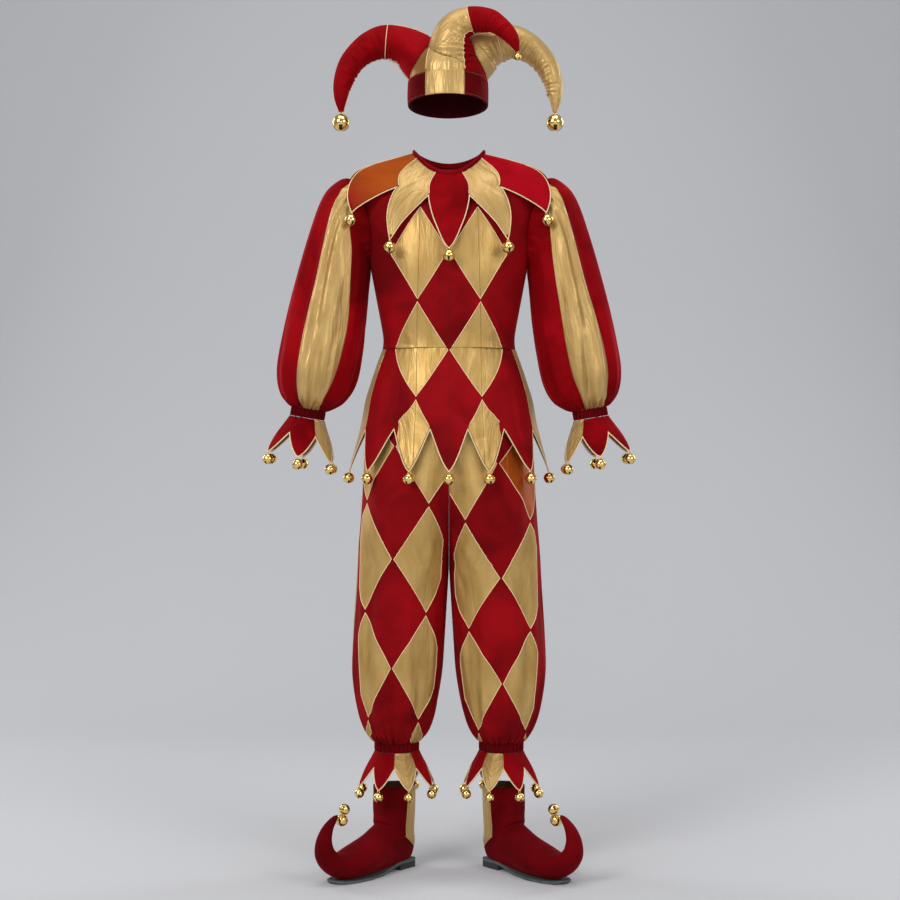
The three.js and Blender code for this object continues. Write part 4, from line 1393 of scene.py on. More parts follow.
def reach(where: Array, at: Sequence[float], values: Sequence[float]) -> Array:
    """Straight lines through values at rising places, carried on beyond both ends.

    Args:
        where: Places to read.
        at: Places of the values.
        values: The values.

    Returns:
        The values read.
    """
    at, values = np.asarray(at, float), np.asarray(values, float)
    k = np.clip(np.searchsorted(at, where) - 1, 0, len(at) - 2)
    return values[k] + (where - at[k]) * (values[k + 1] - values[k]) / (at[k + 1] - at[k])


@dataclass(frozen=True)
class Diamonds:
    """Lattice of diamonds over a garment, set out by its corners as seen from the front.

    columns gives, for each column u of corners, pairs of height and sideways place. heights gives,
    for each column, pairs of v and height. Edges run where u + v and v - u are even.
    """

    columns: dict[int, tuple[tuple[float, float], ...]]
    heights: dict[int, tuple[tuple[float, float], ...]]
    low: float
    high: float
    last: float = 99.0
    inset: float = 0.965
    steps: int = 34

    def fit(self, points: Array) -> tuple[Array, Array]:
        """u and v at every point of a grid whose rows run from -X to +X or back.

        Args:
            points: The grid.

        Returns:
            u and v.
        """
        scale = EYE / (EYE - np.abs(points[..., 1]))
        x = points[..., 0] * scale
        z = EYE_HEIGHT + (points[..., 2] - EYE_HEIGHT) * scale
        x = -x if x[0, 0] > x[0, -1] else x
        steps = np.linalg.norm(np.diff(points, axis=1), axis=2)
        length = np.concatenate([np.zeros((len(x), 1)), np.cumsum(steps, 1)], 1)
        names = sorted(self.columns)
        u = np.empty_like(x)
        for r in range(len(x)):
            crossings = []
            for name in names:
                table = sorted(self.columns[name])
                at = reach(z[r].mean(), *zip(*table))
                height = np.interp(at, x[r], z[r])
                crossings.append(np.interp(reach(height, *zip(*table)), x[r], length[r]))
            u[r] = reach(length[r], crossings, names)
        read = []
        for name in names:
            table = sorted((height, v) for v, height in self.heights[name])
            read.append(reach(z, *zip(*table)))
        ladder = np.stack(read)
        k = np.clip(np.searchsorted(names, u) - 1, 0, len(names) - 2)
        at = np.asarray(names, float)
        part = np.clip((u - at[k]) / (at[k + 1] - at[k]), 0, 1)
        lower = np.take_along_axis(ladder, k[None], 0)[0]
        upper = np.take_along_axis(ladder, k[None] + 1, 0)[0]
        return u, np.minimum(blend(lower, upper, part), self.last)

    @staticmethod
    def lattice(u: Array, v: Array) -> Array:
        """Coordinates in which the diamonds' edges lie at whole numbers."""
        return np.stack([(u + v) / 2, (v - u) / 2], -1)

    def loops(self, u: Array, v: Array) -> list[tuple[Array, Array, bool]]:
        """Rows and columns of a grid that run round each gold diamond, and whether it closes.

        Args:
            u: u at each point of the grid.
            v: v at each point.

        Returns:
            Rows, columns and whether it closes, for each stretch.
        """
        rows = len(u)
        loops = []
        low_v, high_v = int(math.floor(v.min())) - 1, int(math.ceil(v.max())) + 1
        for middle_u in (-1, 1):
            for middle_v in range(low_v + low_v % 2, high_v + 1, 2):
                turn = np.arange(4 * self.steps) / self.steps
                k, part = turn.astype(int), turn % 1
                ends = np.array([(0, -1), (1, 0), (0, 1), (-1, 0), (0, -1)]) * self.inset
                at = blend(ends[k], ends[k + 1], part[:, None]) + (middle_u, middle_v)
                want_u = np.clip(at[:, 0], self.low, self.high)
                want_v = at[:, 1]
                columns = np.stack([np.interp(want_u, u[r], np.arange(u.shape[1]))
                                    for r in range(rows)])
                read = np.stack([np.interp(columns[r], np.arange(u.shape[1]), v[r])
                                 for r in range(rows)])
                row = np.array([np.interp(want_v[t], read[:, t], np.arange(rows))
                                for t in range(len(at))])
                column = columns[np.round(row).astype(int), np.arange(len(at))]
                inside = ((want_v > read[0]) & (want_v < read[-1])
                          & (want_v < self.last - 0.02) & (column > 0.5)
                          & (column < u.shape[1] - 1.5))
                loops += self.runs(row, column, inside)
        return loops

    @staticmethod
    def runs(row: Array, column: Array, inside: Array) -> list[tuple[Array, Array, bool]]:
        """Stretches of a loop that lie on the grid.

        Args:
            row: Rows of the loop.
            column: Columns of the loop.
            inside: Which of its points lie on the grid.

        Returns:
            The stretches.
        """
        if inside.all():
            return [(row, column, True)]
        if not inside.any():
            return []
        start = int(np.argmin(inside))
        order = np.roll(np.arange(len(row)), -start)
        stretches, current = [], []
        for k in order:
            if inside[k]:
                current.append(k)
            elif current:
                stretches.append(current)
                current = []
        if current:
            stretches.append(current)
        return [(row[s], column[s], False) for s in stretches if len(s) > 3]


def diamond_cords(skin: Skin, cloth: Panel) -> None:
    """Adds the piping round the diamonds of a panel, lying on its folds.

    Args:
        skin: What it is added to.
        cloth: The panel.
    """
    for row, column, closed in cloth.loops:
        path, normal = cloth.sample(row, column, DIAMOND_LIFT)
        skin.add(*sweep(path, normal, DIAMOND_CORD, CORD_SIDES, closed))


TUNIC_COLUMNS = {
    0: ((-100.0, 0.0), (-700.0, 0.0)),
    1: ((-104.0, 58.6), (-297.8, 64.4), (-498.0, 67.6), (-558.0, 70.4), (-631.0, 73.8)),
    2: ((-203.0, 119.7), (-400.0, 110.7), (-558.0, 155.0), (-631.0, 165.0)),
}
TUNIC_HEIGHTS = {
    0: ((0, -194.75), (2, -400.3), (4, -616.0)),
    1: ((-1, -104.0), (1, -297.8), (3, -498.0), (5, -738.0)),
    2: ((0, -203.0), (2, -399.8), (4, -610.0)),
}


def both_ways(table: dict[int, tuple], sign: float) -> dict[int, tuple]:
    """A table of columns and the same table for the other half, places times sign."""
    other = {-u: tuple((height, sign * x) for height, x in rows) for u, rows in table.items()}
    return {**other, **table}


TUNIC_DIAMONDS = Diamonds(both_ways(TUNIC_COLUMNS, -1.0), both_ways(TUNIC_HEIGHTS, 1.0),
                          -2.0, 2.0, last=3.46)
LEG_DIAMONDS = {
    Side.RIGHT: Diamonds(
        {-1: ((-752.0, 34.4), (-975.0, 42.0), (-1180.0, 62.3)),
         0: ((-632.0, 99.6), (-868.0, 106.8), (-1085.0, 109.5)),
         1: ((-750.0, 164.2), (-974.0, 165.4), (-1181.0, 155.4))},
        {-1: ((1, -751.0), (3, -974.0), (5, -1180.5)),
         0: ((0, -632.2), (2, -867.8), (4, -1085.3)),
         1: ((1, -751.0), (3, -974.0), (5, -1180.5))},
        -1.6, 1.42),
    Side.LEFT: Diamonds(
        {-1: ((-717.5, 41.8), (-941.0, 48.0), (-1160.0, 63.1)),
         0: ((-598.0, 109.7), (-829.0, 115.0), (-1053.0, 118.1)),
         1: ((-711.0, 166.3), (-935.0, 169.3), (-1155.0, 164.4))},
        {-1: ((1, -717.5), (3, -940.9), (5, -1159.9)),
         0: ((0, -597.6), (2, -828.8), (4, -1053.3)),
         1: ((1, -710.7), (3, -934.8), (5, -1155.4))},
        -1.6, 1.42),
}


# Tools for garments


def raised(place: Place, folds: Sequence[Fold], lift: float = 0.0) -> Place:
    """The surface with its folds on it, moved out by a lift.

    Args:
        place: The surface.
        folds: The folds.
        lift: The distance.

    Returns:
        The surface.
    """
    def with_folds(u: Array, v: Array) -> Array:
        """Points of the folded surface."""
        height = total(folds, place, u, v) + lift
        return place(u, v) + facing_out(place, u, v) * height[..., None]
    return with_folds


def deeper(folds: Sequence[Fold], factor: float) -> list[Fold]:
    """The folds with their heights changed by a factor."""
    return [replace(fold, height=fold.height * factor) for fold in folds]


def wrapped(folds: Sequence[Fold]) -> list[Fold]:
    """The folds and their copies one turn back and on, for a tube."""
    return [replace(f, start=(f.start[0] + turn, f.start[1]), end=(f.end[0] + turn, f.end[1]))
            for turn in (0.0, -TURN, TURN) for f in folds]


def solid_tube(points: Array, finish: Optional[Array] = None) -> tuple[Skin, Array]:
    """Closed body through rings of points whose first and last columns coincide.

    Args:
        points: The rings, one row each.
        finish: Finish number of each face.

    Returns:
        The skin and its flow map.
    """
    rows, columns = points.shape[0] - 1, points.shape[1] - 1
    wide = columns + 1
    faces, numbers = [], []
    for r in range(rows):
        for c in range(columns):
            k = r * wide + c
            faces.append((k, k + wide, k + wide + 1, k + 1))
            numbers.append(int(finish[r, c]) if finish is not None else 0)
    top, bottom = rows * wide + wide, rows * wide + wide + 1
    for c in range(columns):
        faces.append((top, c, c + 1))
        numbers.append(numbers[0])
        faces.append((bottom, rows * wide + c + 1, rows * wide + c))
        numbers.append(numbers[rows * columns - 1])
    ends = np.stack([points[0, :-1].mean(0), points[-1, :-1].mean(0)])
    skin = Skin()
    skin.add(np.concatenate([points.reshape(-1, 3), ends]), faces)
    skin.finish = numbers
    flow = Panel(points, points).flow().reshape(-1, 2)
    return skin, np.concatenate([flow, flow[:1], flow[-1:]])


def block(name: str, points: Array) -> bpy.types.Object:
    """Solid through rings of points, to be taken away from a piece.

    Args:
        name: Its name.
        points: The rings.

    Returns:
        The solid.
    """
    skin, _ = solid_tube(points)
    mesh = bpy.data.meshes.new(name)
    mesh.from_pydata((np.concatenate(skin.points) * MM).tolist(), [], skin.faces)
    face_out(mesh, True)
    tool = bpy.data.objects.new(name, mesh)
    bpy.context.scene.collection.objects.link(tool)
    return tool


def carve(piece: bpy.types.Object, tools: Sequence[bpy.types.Object]) -> None:
    """Takes solids away from a piece and keeps its largest body.

    Args:
        piece: The piece.
        tools: The solids.
    """
    for tool in tools:
        cut = piece.modifiers.new("cut", "BOOLEAN")
        cut.object, cut.operation, cut.solver = tool, "DIFFERENCE", "MANIFOLD"
    graph = bpy.context.evaluated_depsgraph_get()
    mesh = bpy.data.meshes.new_from_object(piece.evaluated_get(graph))
    piece.modifiers.clear()
    made = bmesh.new()
    made.from_mesh(mesh)
    keep_largest(made)
    made.to_mesh(mesh)
    made.free()
    mesh.name = piece.name
    piece.data = mesh
    log.info("%s: %d faces after carving", piece.name, len(mesh.polygons))


def keep_largest(made: bmesh.types.BMesh) -> None:
    """Deletes all bodies of a mesh but the one with the most points.

    Args:
        made: The mesh.
    """
    left, bodies = set(made.verts), []
    while left:
        body, edge = set(), [left.pop()]
        while edge:
            vert = edge.pop()
            body.add(vert)
            for link in vert.link_edges:
                other = link.other_vert(vert)
                if other in left:
                    left.remove(other)
                    edge.append(other)
        bodies.append(body)
    bodies.sort(key=len)
    bmesh.ops.delete(made, geom=[vert for body in bodies[:-1] for vert in body], context="VERTS")


def remove(tools: Sequence[bpy.types.Object]) -> None:
    """Deletes the solids that pieces were carved with."""
    for tool in tools:
        bpy.data.meshes.remove(tool.data)


def calm_edges(columns: int, cells: float) -> Array:
    """Factor that is 0 at both seams of a panel and 1 a few columns away from them."""
    off = np.minimum(np.arange(columns), np.arange(columns)[::-1])
    return smooth(0.0, cells, off)[None]


# Tunic

BODICE = Rings(
    wide=(72.5, 144, 194, 188, 174, 160, 146, 134, 135),
    deep=(60.2, 77, 91, 102, 109, 112, 107, 100, 100),
    side=(-3.8, -27, -54, -95, -155, -231, -305, -372, -399.7),
    front=(-52.5, -86, -118, -143, -178, -231, -305, -372, -399.7),
    back=(-22.2, -64, -100, -134, -174, -231, -305, -372, -399.7),
    squareness=0.9,
)
YOKE = Rings(
    wide=(75, 148, 212, 262, 284), deep=(63, 83, 99, 113, 126), side=(0, -19, -40, -78, -126),
    front=(-50, -78, -111, -154, -202), back=(-18, -56, -92, -138, -190), squareness=0.9,
)
PEPLUM = Rings(
    wide=(135.5, 149, 161, 169, 180, 203), deep=(100.5, 111, 121, 128, 140, 160),
    side=(-400.3, -436, -473, -502, -560, -645),
)
BODICE_GROW = 1.9


@dataclass(frozen=True)
class Bodice:
    """Bodice of two pieces, seamed at the shoulders and sides, with the neck binding."""

    rows: int = 116
    columns: int = 150
    front_folds: tuple[Fold, ...] = (
        Fold((-1.12, 2.9), (-0.62, 5.2), 9, 1.7), Fold((1.1, 3.0), (0.66, 5.4), 10, 1.6),
        Fold((-1.32, 4.1), (-1.2, 6.9), 8, 1.6), Fold((1.3, 4.3), (1.24, 7.2), 8, 1.8),
        Fold((-1.0, 7.4), (-0.45, 7.75), 5, -1.3), Fold((0.5, 7.3), (1.05, 7.7), 5, -1.2),
        Fold((-0.32, 7.75), (0.3, 7.7), 5, -0.8), Fold((-0.9, 6.6), (-0.5, 7.3), 7, 0.9),
        Fold((0.95, 6.4), (0.55, 7.1), 7, 1.0), Fold((-0.2, 5.6), (0.15, 6.7), 12, 0.9),
    )
    back_folds: tuple[Fold, ...] = (
        Fold((2.05, 3.0), (2.5, 5.4), 10, 1.7), Fold((4.2, 2.9), (3.8, 5.2), 9, 1.7),
        Fold((1.8, 4.6), (1.9, 7.1), 8, 1.5), Fold((4.5, 4.4), (4.42, 7.3), 8, 1.6),
        Fold((2.4, 7.2), (2.95, 7.6), 6, -1.3), Fold((3.35, 7.4), (3.95, 7.1), 6, -1.4),
        Fold((3.0, 6.2), (3.3, 7.2), 11, 1.1), Fold((2.75, 3.0), (3.05, 4.6), 12, 1.0),
    )
    turned: float = 2.0
    thick: float = 2.6
    binding: Rings = Rings(wide=(72.6, 73.4, 72.6), deep=(60.6, 61.4, 60.6), side=(9.9, 5, -1.6),
                           front=(-40.6, -45.6, -51), back=(-8.6, -13.6, -19.9))

    def panel(self, facing: float) -> Panel:
        """Cloth of the front (-1) or the back (1).

        Args:
            facing: -1 for the front, 1 for the back.

        Returns:
            The panel.
        """
        down, across = grid(self.rows, self.columns)
        u, v = facing * QUARTER + math.pi * across, BODICE.last * down
        folds = self.front_folds if facing < 0 else self.back_folds
        cloth = panel(BODICE.place, u, v, folds, calm=calm_edges(self.columns + 1, 6))
        for points in (cloth.outer, cloth.inner):
            points[..., 1] = facing * np.maximum(facing * points[..., 1], GAP)
        cloth.lay_diamonds(TUNIC_DIAMONDS, BODICE.place(u, v))
        return cloth

    def build(self, shop: Workshop, cords: Skin) -> None:
        """Both pieces, with armholes, and the neck binding.

        Args:
            shop: Where the pieces are made.
            cords: Skin that takes the piping.
        """
        tools = [Sleeve(side).hollow() for side in Side]
        for name, facing in (("bodice_front", -1.0), ("bodice_back", 1.0)):
            cloth = self.panel(facing)
            piece = shop.cloth(name, cloth, ("tunic_diamonds", "lining"), Finish.VELVET,
                               "stretched")
            carve(piece, tools)
            diamond_cords(cords, cloth)
        remove(tools)
        down, across = grid(6, 150)
        bulge = 0.9 * np.sin(math.pi * down) - 0.45
        row = self.binding.last * down
        roll = panel(self.binding.place, TURN * across, row, (), self.thick, True, extra=bulge)
        piece = shop.cloth("neck_binding", roll, ("binding", "binding"), Finish.BINDING, "folded",
                           declare=False)
        around, height, _ = roll.cut()


@dataclass(frozen=True)
class Point:
    """A pointed piece of the collar: where it starts and ends at the neck, its tip and reach."""

    name: str
    start: float
    end: float
    tip: float
    reach: float
    finish: str
    slot: Finish
    fold: float = 0.0


@dataclass(frozen=True)
class Collar:
    """Collar of eight lined points, piped along every edge and seam, with a bell at each tip."""

    points: tuple[Point, ...] = (
        Point("collar_front", -19, 19, 0, 4, "velvet", Finish.VELVET, 1.3),
        Point("collar_gold_front_right", 19, 60, 22.2, 3.75, "satin", Finish.SATIN, 2.0),
        Point("collar_shoulder_right", 60, 92, 44.4, 3.2, "bright_velvet", Finish.VELVET, 1.4),
        Point("collar_gold_back_right", 92, 155, 140, 3.1, "satin", Finish.SATIN, 2.2),
        Point("collar_back", 155, 205, 180, 3.9, "velvet", Finish.VELVET, 1.5),
        Point("collar_gold_back_left", 205, 268, 220, 3.1, "satin", Finish.SATIN, 2.3),
        Point("collar_shoulder_left", 268, 300, 315.6, 3.2, "rust_velvet", Finish.VELVET, 1.6),
        Point("collar_gold_front_left", 300, 341, 337.8, 3.75, "satin", Finish.SATIN, 2.0),
    )
    notches: tuple[tuple[float, float], ...] = (
        (-10.6, 1.5), (10.6, 1.5), (32, 1.45), (80, 1.05), (158, 1.5), (202, 1.5), (280, 1.05),
        (328, 1.45), (349.4, 1.5),
    )
    tip_cut: float = 0.95
    bell: float = 12.5
    lean: float = 0.3
    stitch_in: float = 4.0
    cells: int = 46

    def edge(self, neck: float, notch: tuple[float, float], tip: tuple[float, float],
             way: Array) -> tuple[Array, Array]:
        """Angle and row of an edge, from the neck (0) past the notch (1) to the tip (2).

        Args:
            neck: Angle at the neck.
            notch: Angle and row of the notch.
            tip: Angle and row of the tip.
            way: How far along the edge.

        Returns:
            The angles and the rows.
        """
        part = np.clip(way - 1, 0, 1) * self.tip_cut
        near = np.clip(way, 0, 1)
        angle = np.where(way <= 1, blend(neck, notch[0], near), blend(notch[0], tip[0], part))
        row = np.where(way <= 1, notch[1] * near, blend(notch[1], tip[1], part))
        return angle, row

    def panel(self, k: int) -> Panel:
        """Cloth of one point.

        Args:
            k: Number of the point.

        Returns:
            The panel.
        """
        point = self.points[k]
        down, across = grid(self.cells, 30)
        tip = (point.tip, point.reach)
        left = self.edge(point.start, self.notches[k], tip, 2 * down)
        right = self.edge(point.end, self.notches[k + 1], tip, 2 * down)
        row = blend(left[1], right[1], across)
        gap = np.degrees(GAP / along(YOKE.deep, row))
        angle = blend(left[0] + gap, right[0] - gap, across)
        rng = np.random.default_rng(31 + k)
        a, b = math.radians((point.start + point.end) / 2), math.radians(point.tip)
        width = math.radians(point.end - point.start)
        folds = [
            Fold((a, 0.2), (b, point.reach * 0.9), 11, point.fold),
            Fold((a - 0.24 * width, 0.05), (blend(a, b, 0.3) - 0.1 * width, 1.3), 5, point.fold, 1),
            Fold((a + 0.2 * width, 0.05), (blend(a, b, 0.35) + 0.06 * width, 1.5), 4,
                 -0.8 * point.fold, 1),
            Fold((a + 0.36 * width, 0.3), (blend(a, b, 0.5) + 0.03 * width, 1.9), 5,
                 0.7 * point.fold),
            Fold((a - 0.4 * width, 0.5), (blend(a, b, 0.6), 2.2 + rng.uniform(-0.2, 0.3)), 6,
                 -0.5 * point.fold),
        ]
        calm = np.minimum(calm_edges(31, 4), smooth(0, 0.06, 1 - down))
        return panel(YOKE.place, np.radians(angle), row, folds, calm=calm)

    def build(self, shop: Workshop, cords: Skin, threads: Skin) -> None:
        """All eight points, their piping and bells.

        Args:
            shop: Where the pieces are made.
            cords: Skin that takes the piping.
            threads: Skin that takes the stitches.
        """
        paths, normals, tips = [], [], []
        count = 0
        for k, point in enumerate(self.points):
            cloth = self.panel(k)
            shop.cloth(point.name, cloth, (point.finish, "lining"), point.slot, "hung",
                       ["neck_binding"])
            middle, out = (cloth.outer + cloth.inner) / 2, cloth.outward()
            half = self.cells // 2
            last = cloth.columns - 1
            picks = [(r, 0) for r in range(half, self.cells)]
            picks += [(self.cells, c) for c in (0, last // 2, last)]
            picks += [(r, last) for r in range(self.cells - 1, half, -1)]
            rows, columns = zip(*picks)
            paths.append(middle[rows, columns])
            normals.append(out[rows, columns])
            at_tip = self.cells - half + 1
            paths[-1][at_tip] = YOKE.place(np.radians(point.tip), np.array(float(point.reach)))
            tips.append(count + at_tip)
            count += len(picks)
            seam = np.linspace(0, half, 30)
            path, normal = cloth.sample(seam, np.zeros(30), 0.2)
            cords.add(*sweep(path, normal, 1.0, CORD_SIDES, False))
            if point.slot is Finish.SATIN:
                self.stitch(threads, cloth)
        path, normal = np.concatenate(paths), np.concatenate(normals)
        Trim(path, normal, tips, self.bell, lean=self.lean, seed=3).build(shop, "collar")

    def stitch(self, threads: Skin, cloth: Panel) -> None:
        """Top stitches a little inside both free edges.

        Args:
            threads: Skin that takes the stitches.
            cloth: The panel.
        """
        last = cloth.columns - 1
        for sign, start in ((1, 0), (-1, last)):
            row = np.linspace(self.cells // 2 + 2, self.cells - 6, 40)
            across = np.linalg.norm(cloth.outer[:, -1] - cloth.outer[:, 0], axis=1)
            inside = self.stitch_in / np.interp(row, np.arange(cloth.rows), across) * last
            column = np.clip(start + sign * np.minimum(inside, last * 0.42), 0, last)
            stitch_row(threads, cloth, row, column)


@dataclass(frozen=True)
class Peplum:
    """Flared skirt below the waist in four pieces, with twelve piped points."""

    stops: tuple[float, ...] = (0, 12, 23, 37.5, 53, 69, 90, 111, 127, 142.5, 157, 168, 180)
    notch: float = -560.0
    tip: float = -645.0
    bell: float = 11.5
    lean: float = 0.12
    stitch_up: float = 11.0
    step: int = 14
    rows: int = 84

    def round(self) -> list[float]:
        """Angles of tips (even) and notches (odd) from the front piece's -X edge.

        Returns:
            The angles, in degrees.
        """
        right = list(self.stops)
        left = [-a for a in right[5:0:-1]]
        rest = [360 - a for a in right[-2:4:-1]]
        return [*left, *right, *rest]

    def panel(self, first: int, last: int, folds: Sequence[Fold]) -> Panel:
        """Cloth between two notches, counted round from the front piece's -X edge.

        Args:
            first: Number of its first notch.
            last: Number of its last notch.
            folds: The folds.

        Returns:
            The panel.
        """
        stops = self.round()
        down, across = grid(self.rows, (last - first) * self.step)
        place = first + across * (last - first)
        angle = np.interp(place, np.arange(len(stops)), stops)
        to_tip = np.abs((place + 1) % 2 - 1)
        height = blend(self.notch, self.tip, to_tip)
        hem = np.interp(-height, -np.array(PEPLUM.side), np.arange(len(PEPLUM.side)))
        calm = calm_edges(across.shape[1], 6)
        shift = GAP / along(PEPLUM.deep, hem * down)
        edge = np.where(place == first, shift, 0) - np.where(place == last, shift, 0)
        return panel(PEPLUM.place, np.radians(angle) + edge, hem * down, folds, calm=calm)

    def flutes(self, first: int, last: int, seed: int) -> list[Fold]:
        """A soft ridge down each point and a hollow above each notch, uneven in size.

        Args:
            first: Number of its first notch.
            last: Number of its last notch.
            seed: Start of the random numbers.

        Returns:
            The folds.
        """
        rng = np.random.default_rng(seed)
        stops = self.round()
        folds = []
        for k in range(first, last + 1):
            angle = math.radians(stops[k])
            size = rng.uniform(0.7, 1.4)
            if k % 2 == 0:
                start, end = (angle, 1.6 + rng.uniform(-0.4, 0.4)), (angle, 4.6)
                folds.append(Fold(start, end, rng.uniform(9, 13), -1.5 * size))
            else:
                lean = rng.uniform(-0.03, 0.03)
                folds.append(Fold((angle + lean, 2.1 + rng.uniform(-0.5, 0.5)),
                                  (angle - lean, 5.05), rng.uniform(8, 12), 1.9 * size))
                folds.append(Fold((angle - 0.12, 3.3), (angle - 0.05 - lean, 4.9), 5, -0.9 * size))
        span = (math.radians(stops[first]), math.radians(stops[last]))
        return folds + gathers(seed + 7, 2 * (last - first), span, (0.0, 1.1), 6.0, 0.7)

    def build(self, shop: Workshop, cords: Skin, threads: Skin) -> None:
        """The four pieces, their piping and bells.

        Args:
            shop: Where the pieces are made.
            cords: Skin that takes the piping.
            threads: Skin that takes the stitches.
        """
        pieces = (("peplum_front", 0, 10), ("peplum_right", 10, 12), ("peplum_back", 12, 22),
                  ("peplum_left", 22, 24))
        paths, normals, tips = [], [], []
        for name, first, last in pieces:
            cloth = self.panel(first, last, self.flutes(first, last, 90 + first))
            plain = last - first > 2
            finishes = ("tunic_diamonds", "lining") if plain else ("satin", "lining")
            if plain:
                cloth.lay_diamonds(TUNIC_DIAMONDS, cloth.outer)
                diamond_cords(cords, cloth)
            slot = Finish.VELVET if plain else Finish.SATIN
            shop.cloth(name, cloth, finishes, slot, "hung", ["bodice_front"])
            start = sum(len(p) for p in paths)
            paths.append(((cloth.outer + cloth.inner) / 2)[-1, :-1])
            normals.append(cloth.outward()[-1, :-1])
            tips += [start + k * self.step for k in range(1, last - first, 2)]
            self.stitch(threads, cloth, plain)
        trim = Trim(np.concatenate(paths), np.concatenate(normals), tips, self.bell,
                    lean=self.lean, seed=5)
        trim.build(shop, "peplum")

    def stitch(self, threads: Skin, cloth: Panel, plain: bool) -> None:
        """Top stitches inside the hem of the gold points.

        Args:
            threads: Skin that takes the stitches.
            cloth: The panel.
            plain: Whether the piece has diamonds.
        """
        last = cloth.columns - 1
        points = (2 * self.step, 6 * self.step) if plain else (0,)
        for start in points:
            column = np.linspace(start + 3, start + 2 * self.step - 3, 2 * self.step)
            length = np.linalg.norm(np.diff(cloth.outer, axis=0), axis=2).sum(0)
            cut = self.stitch_up / np.interp(column, np.arange(last + 1), length)
            stitch_row(threads, cloth, self.rows * (1 - cut), column)


# Sleeves


@dataclass(frozen=True)
class Frill:
    """Flared ring of points below an elastic band, piped, with a bell at each tip."""

    points: int
    phase: float
    radius: float
    tip_radius: float
    notch: float
    length: float
    bell: float
    gold: tuple[int, ...]
    ribs: int
    inside: float
    step: int = 22
    rows: int = 26
    band: float = 20.0
    seam: float = 1.3

    @property
    def form(self) -> Rings:
        """The frill's surface.

        Returns:
            The surface.
        """
        parts = (0.0, 0.5, 1.0)
        wide = [blend(self.radius, self.tip_radius, p ** 0.9) for p in parts]
        side = [-self.band - self.seam - self.length * p for p in parts]
        return Rings(wide, wide, side)

    def cloth(self, seed: int) -> Panel:
        """Cloth of the frill.

        Args:
            seed: Start of the random numbers.

        Returns:
            The panel.
        """
        down, across = grid(self.rows, self.points * self.step)
        place = across * self.points
        to_tip = 1 - np.abs(place % 1 * 2 - 1)
        angle = math.radians(self.phase) + TURN * (place - 0.5) / self.points
        hem = 2 * blend(self.notch / self.length, 1.0, to_tip)
        rng = np.random.default_rng(seed)
        folds = []
        for k in range(self.points):
            at = math.radians(self.phase) + TURN * k / self.points
            lean = rng.uniform(-0.1, 0.1)
            folds.append(Fold((at + lean, 0.1), (at, 1.9), 6, rng.uniform(1.2, 2.4)))
            half = TURN / self.points / 2
            folds.append(Fold((at + half, 0.0), (at + half + lean / 2, 1.0), 4,
                              -rng.uniform(1.0, 2.0), 1))
            folds.append(Fold((at + 0.5 * half, 0.0), (at + 0.3 * half, 1.0 + 4 * lean), 3,
                              rng.uniform(0.7, 1.5), 1))
            folds.append(Fold((at - 0.45 * half, 0.0), (at - 0.3 * half, 0.9 - 3 * lean), 3,
                              -rng.uniform(0.6, 1.2), 1))
        made = panel(self.form.place, angle, hem * down, wrapped(folds), tube=True)
        owner = np.floor(place[1:, 1:] - 1e-6).astype(int) % self.points
        made.gold = np.isin(owner, self.gold).astype(int)
        return made

    def elastic(self) -> Panel:
        """Ribbed band above the frill.

        Returns:
            The panel.
        """
        down, across = grid(8, self.ribs * 6)
        angle = TURN * across
        drift = 0.35 * np.sin(3 * angle + 1) + 0.25 * np.sin(7 * angle)
        bulge = 0.85 * np.sin(self.ribs * angle + drift) + 0.5 * np.sin(math.pi * down) \
            - 0.5 * np.sin(3 * math.pi * down) ** 2
        form = Rings((self.inside,) * 2, (self.inside,) * 2, (-self.seam, -self.band))
        made = panel(form.place, angle, down, (), 2.0, True, extra=bulge)
        return made

    def build(self, shop: Workshop, kind: str, side: Side, at: Matrix, seed: int,
              lean: float = 0.0) -> None:
        """Band, frill, piping and bells.

        Args:
            shop: Where they are made.
            kind: First word of their names.
            side: Their side.
            at: Frame of the right-hand ones.
            seed: Start of the random numbers.
            lean: How far that frame leans.
        """
        band, end = f"{kind}_band_{side.value}", f"_{side.value}"
        local = self.cloth(seed)
        shop.cloth(band, moved(self.elastic(), at, side.mirror), ("elastic", "elastic"),
                   Finish.ELASTIC, "stretched")
        shop.cloth(f"{kind}_frill{end}", moved(local, at, side.mirror),
                   ("velvet", "satin", "lining"), Finish.VELVET, "hung", [band])
        path = ((local.outer + local.inner) / 2)[-1, :-1]
        tips = [int((k + 0.5) * self.step) for k in range(self.points)]
        down = (-math.sin(lean), 0.0, -math.cos(lean))
        trim = Trim(path, local.outward()[-1, :-1], tips, self.bell, down, seed=seed)
        trim.build(shop, kind, end, at, side.mirror)


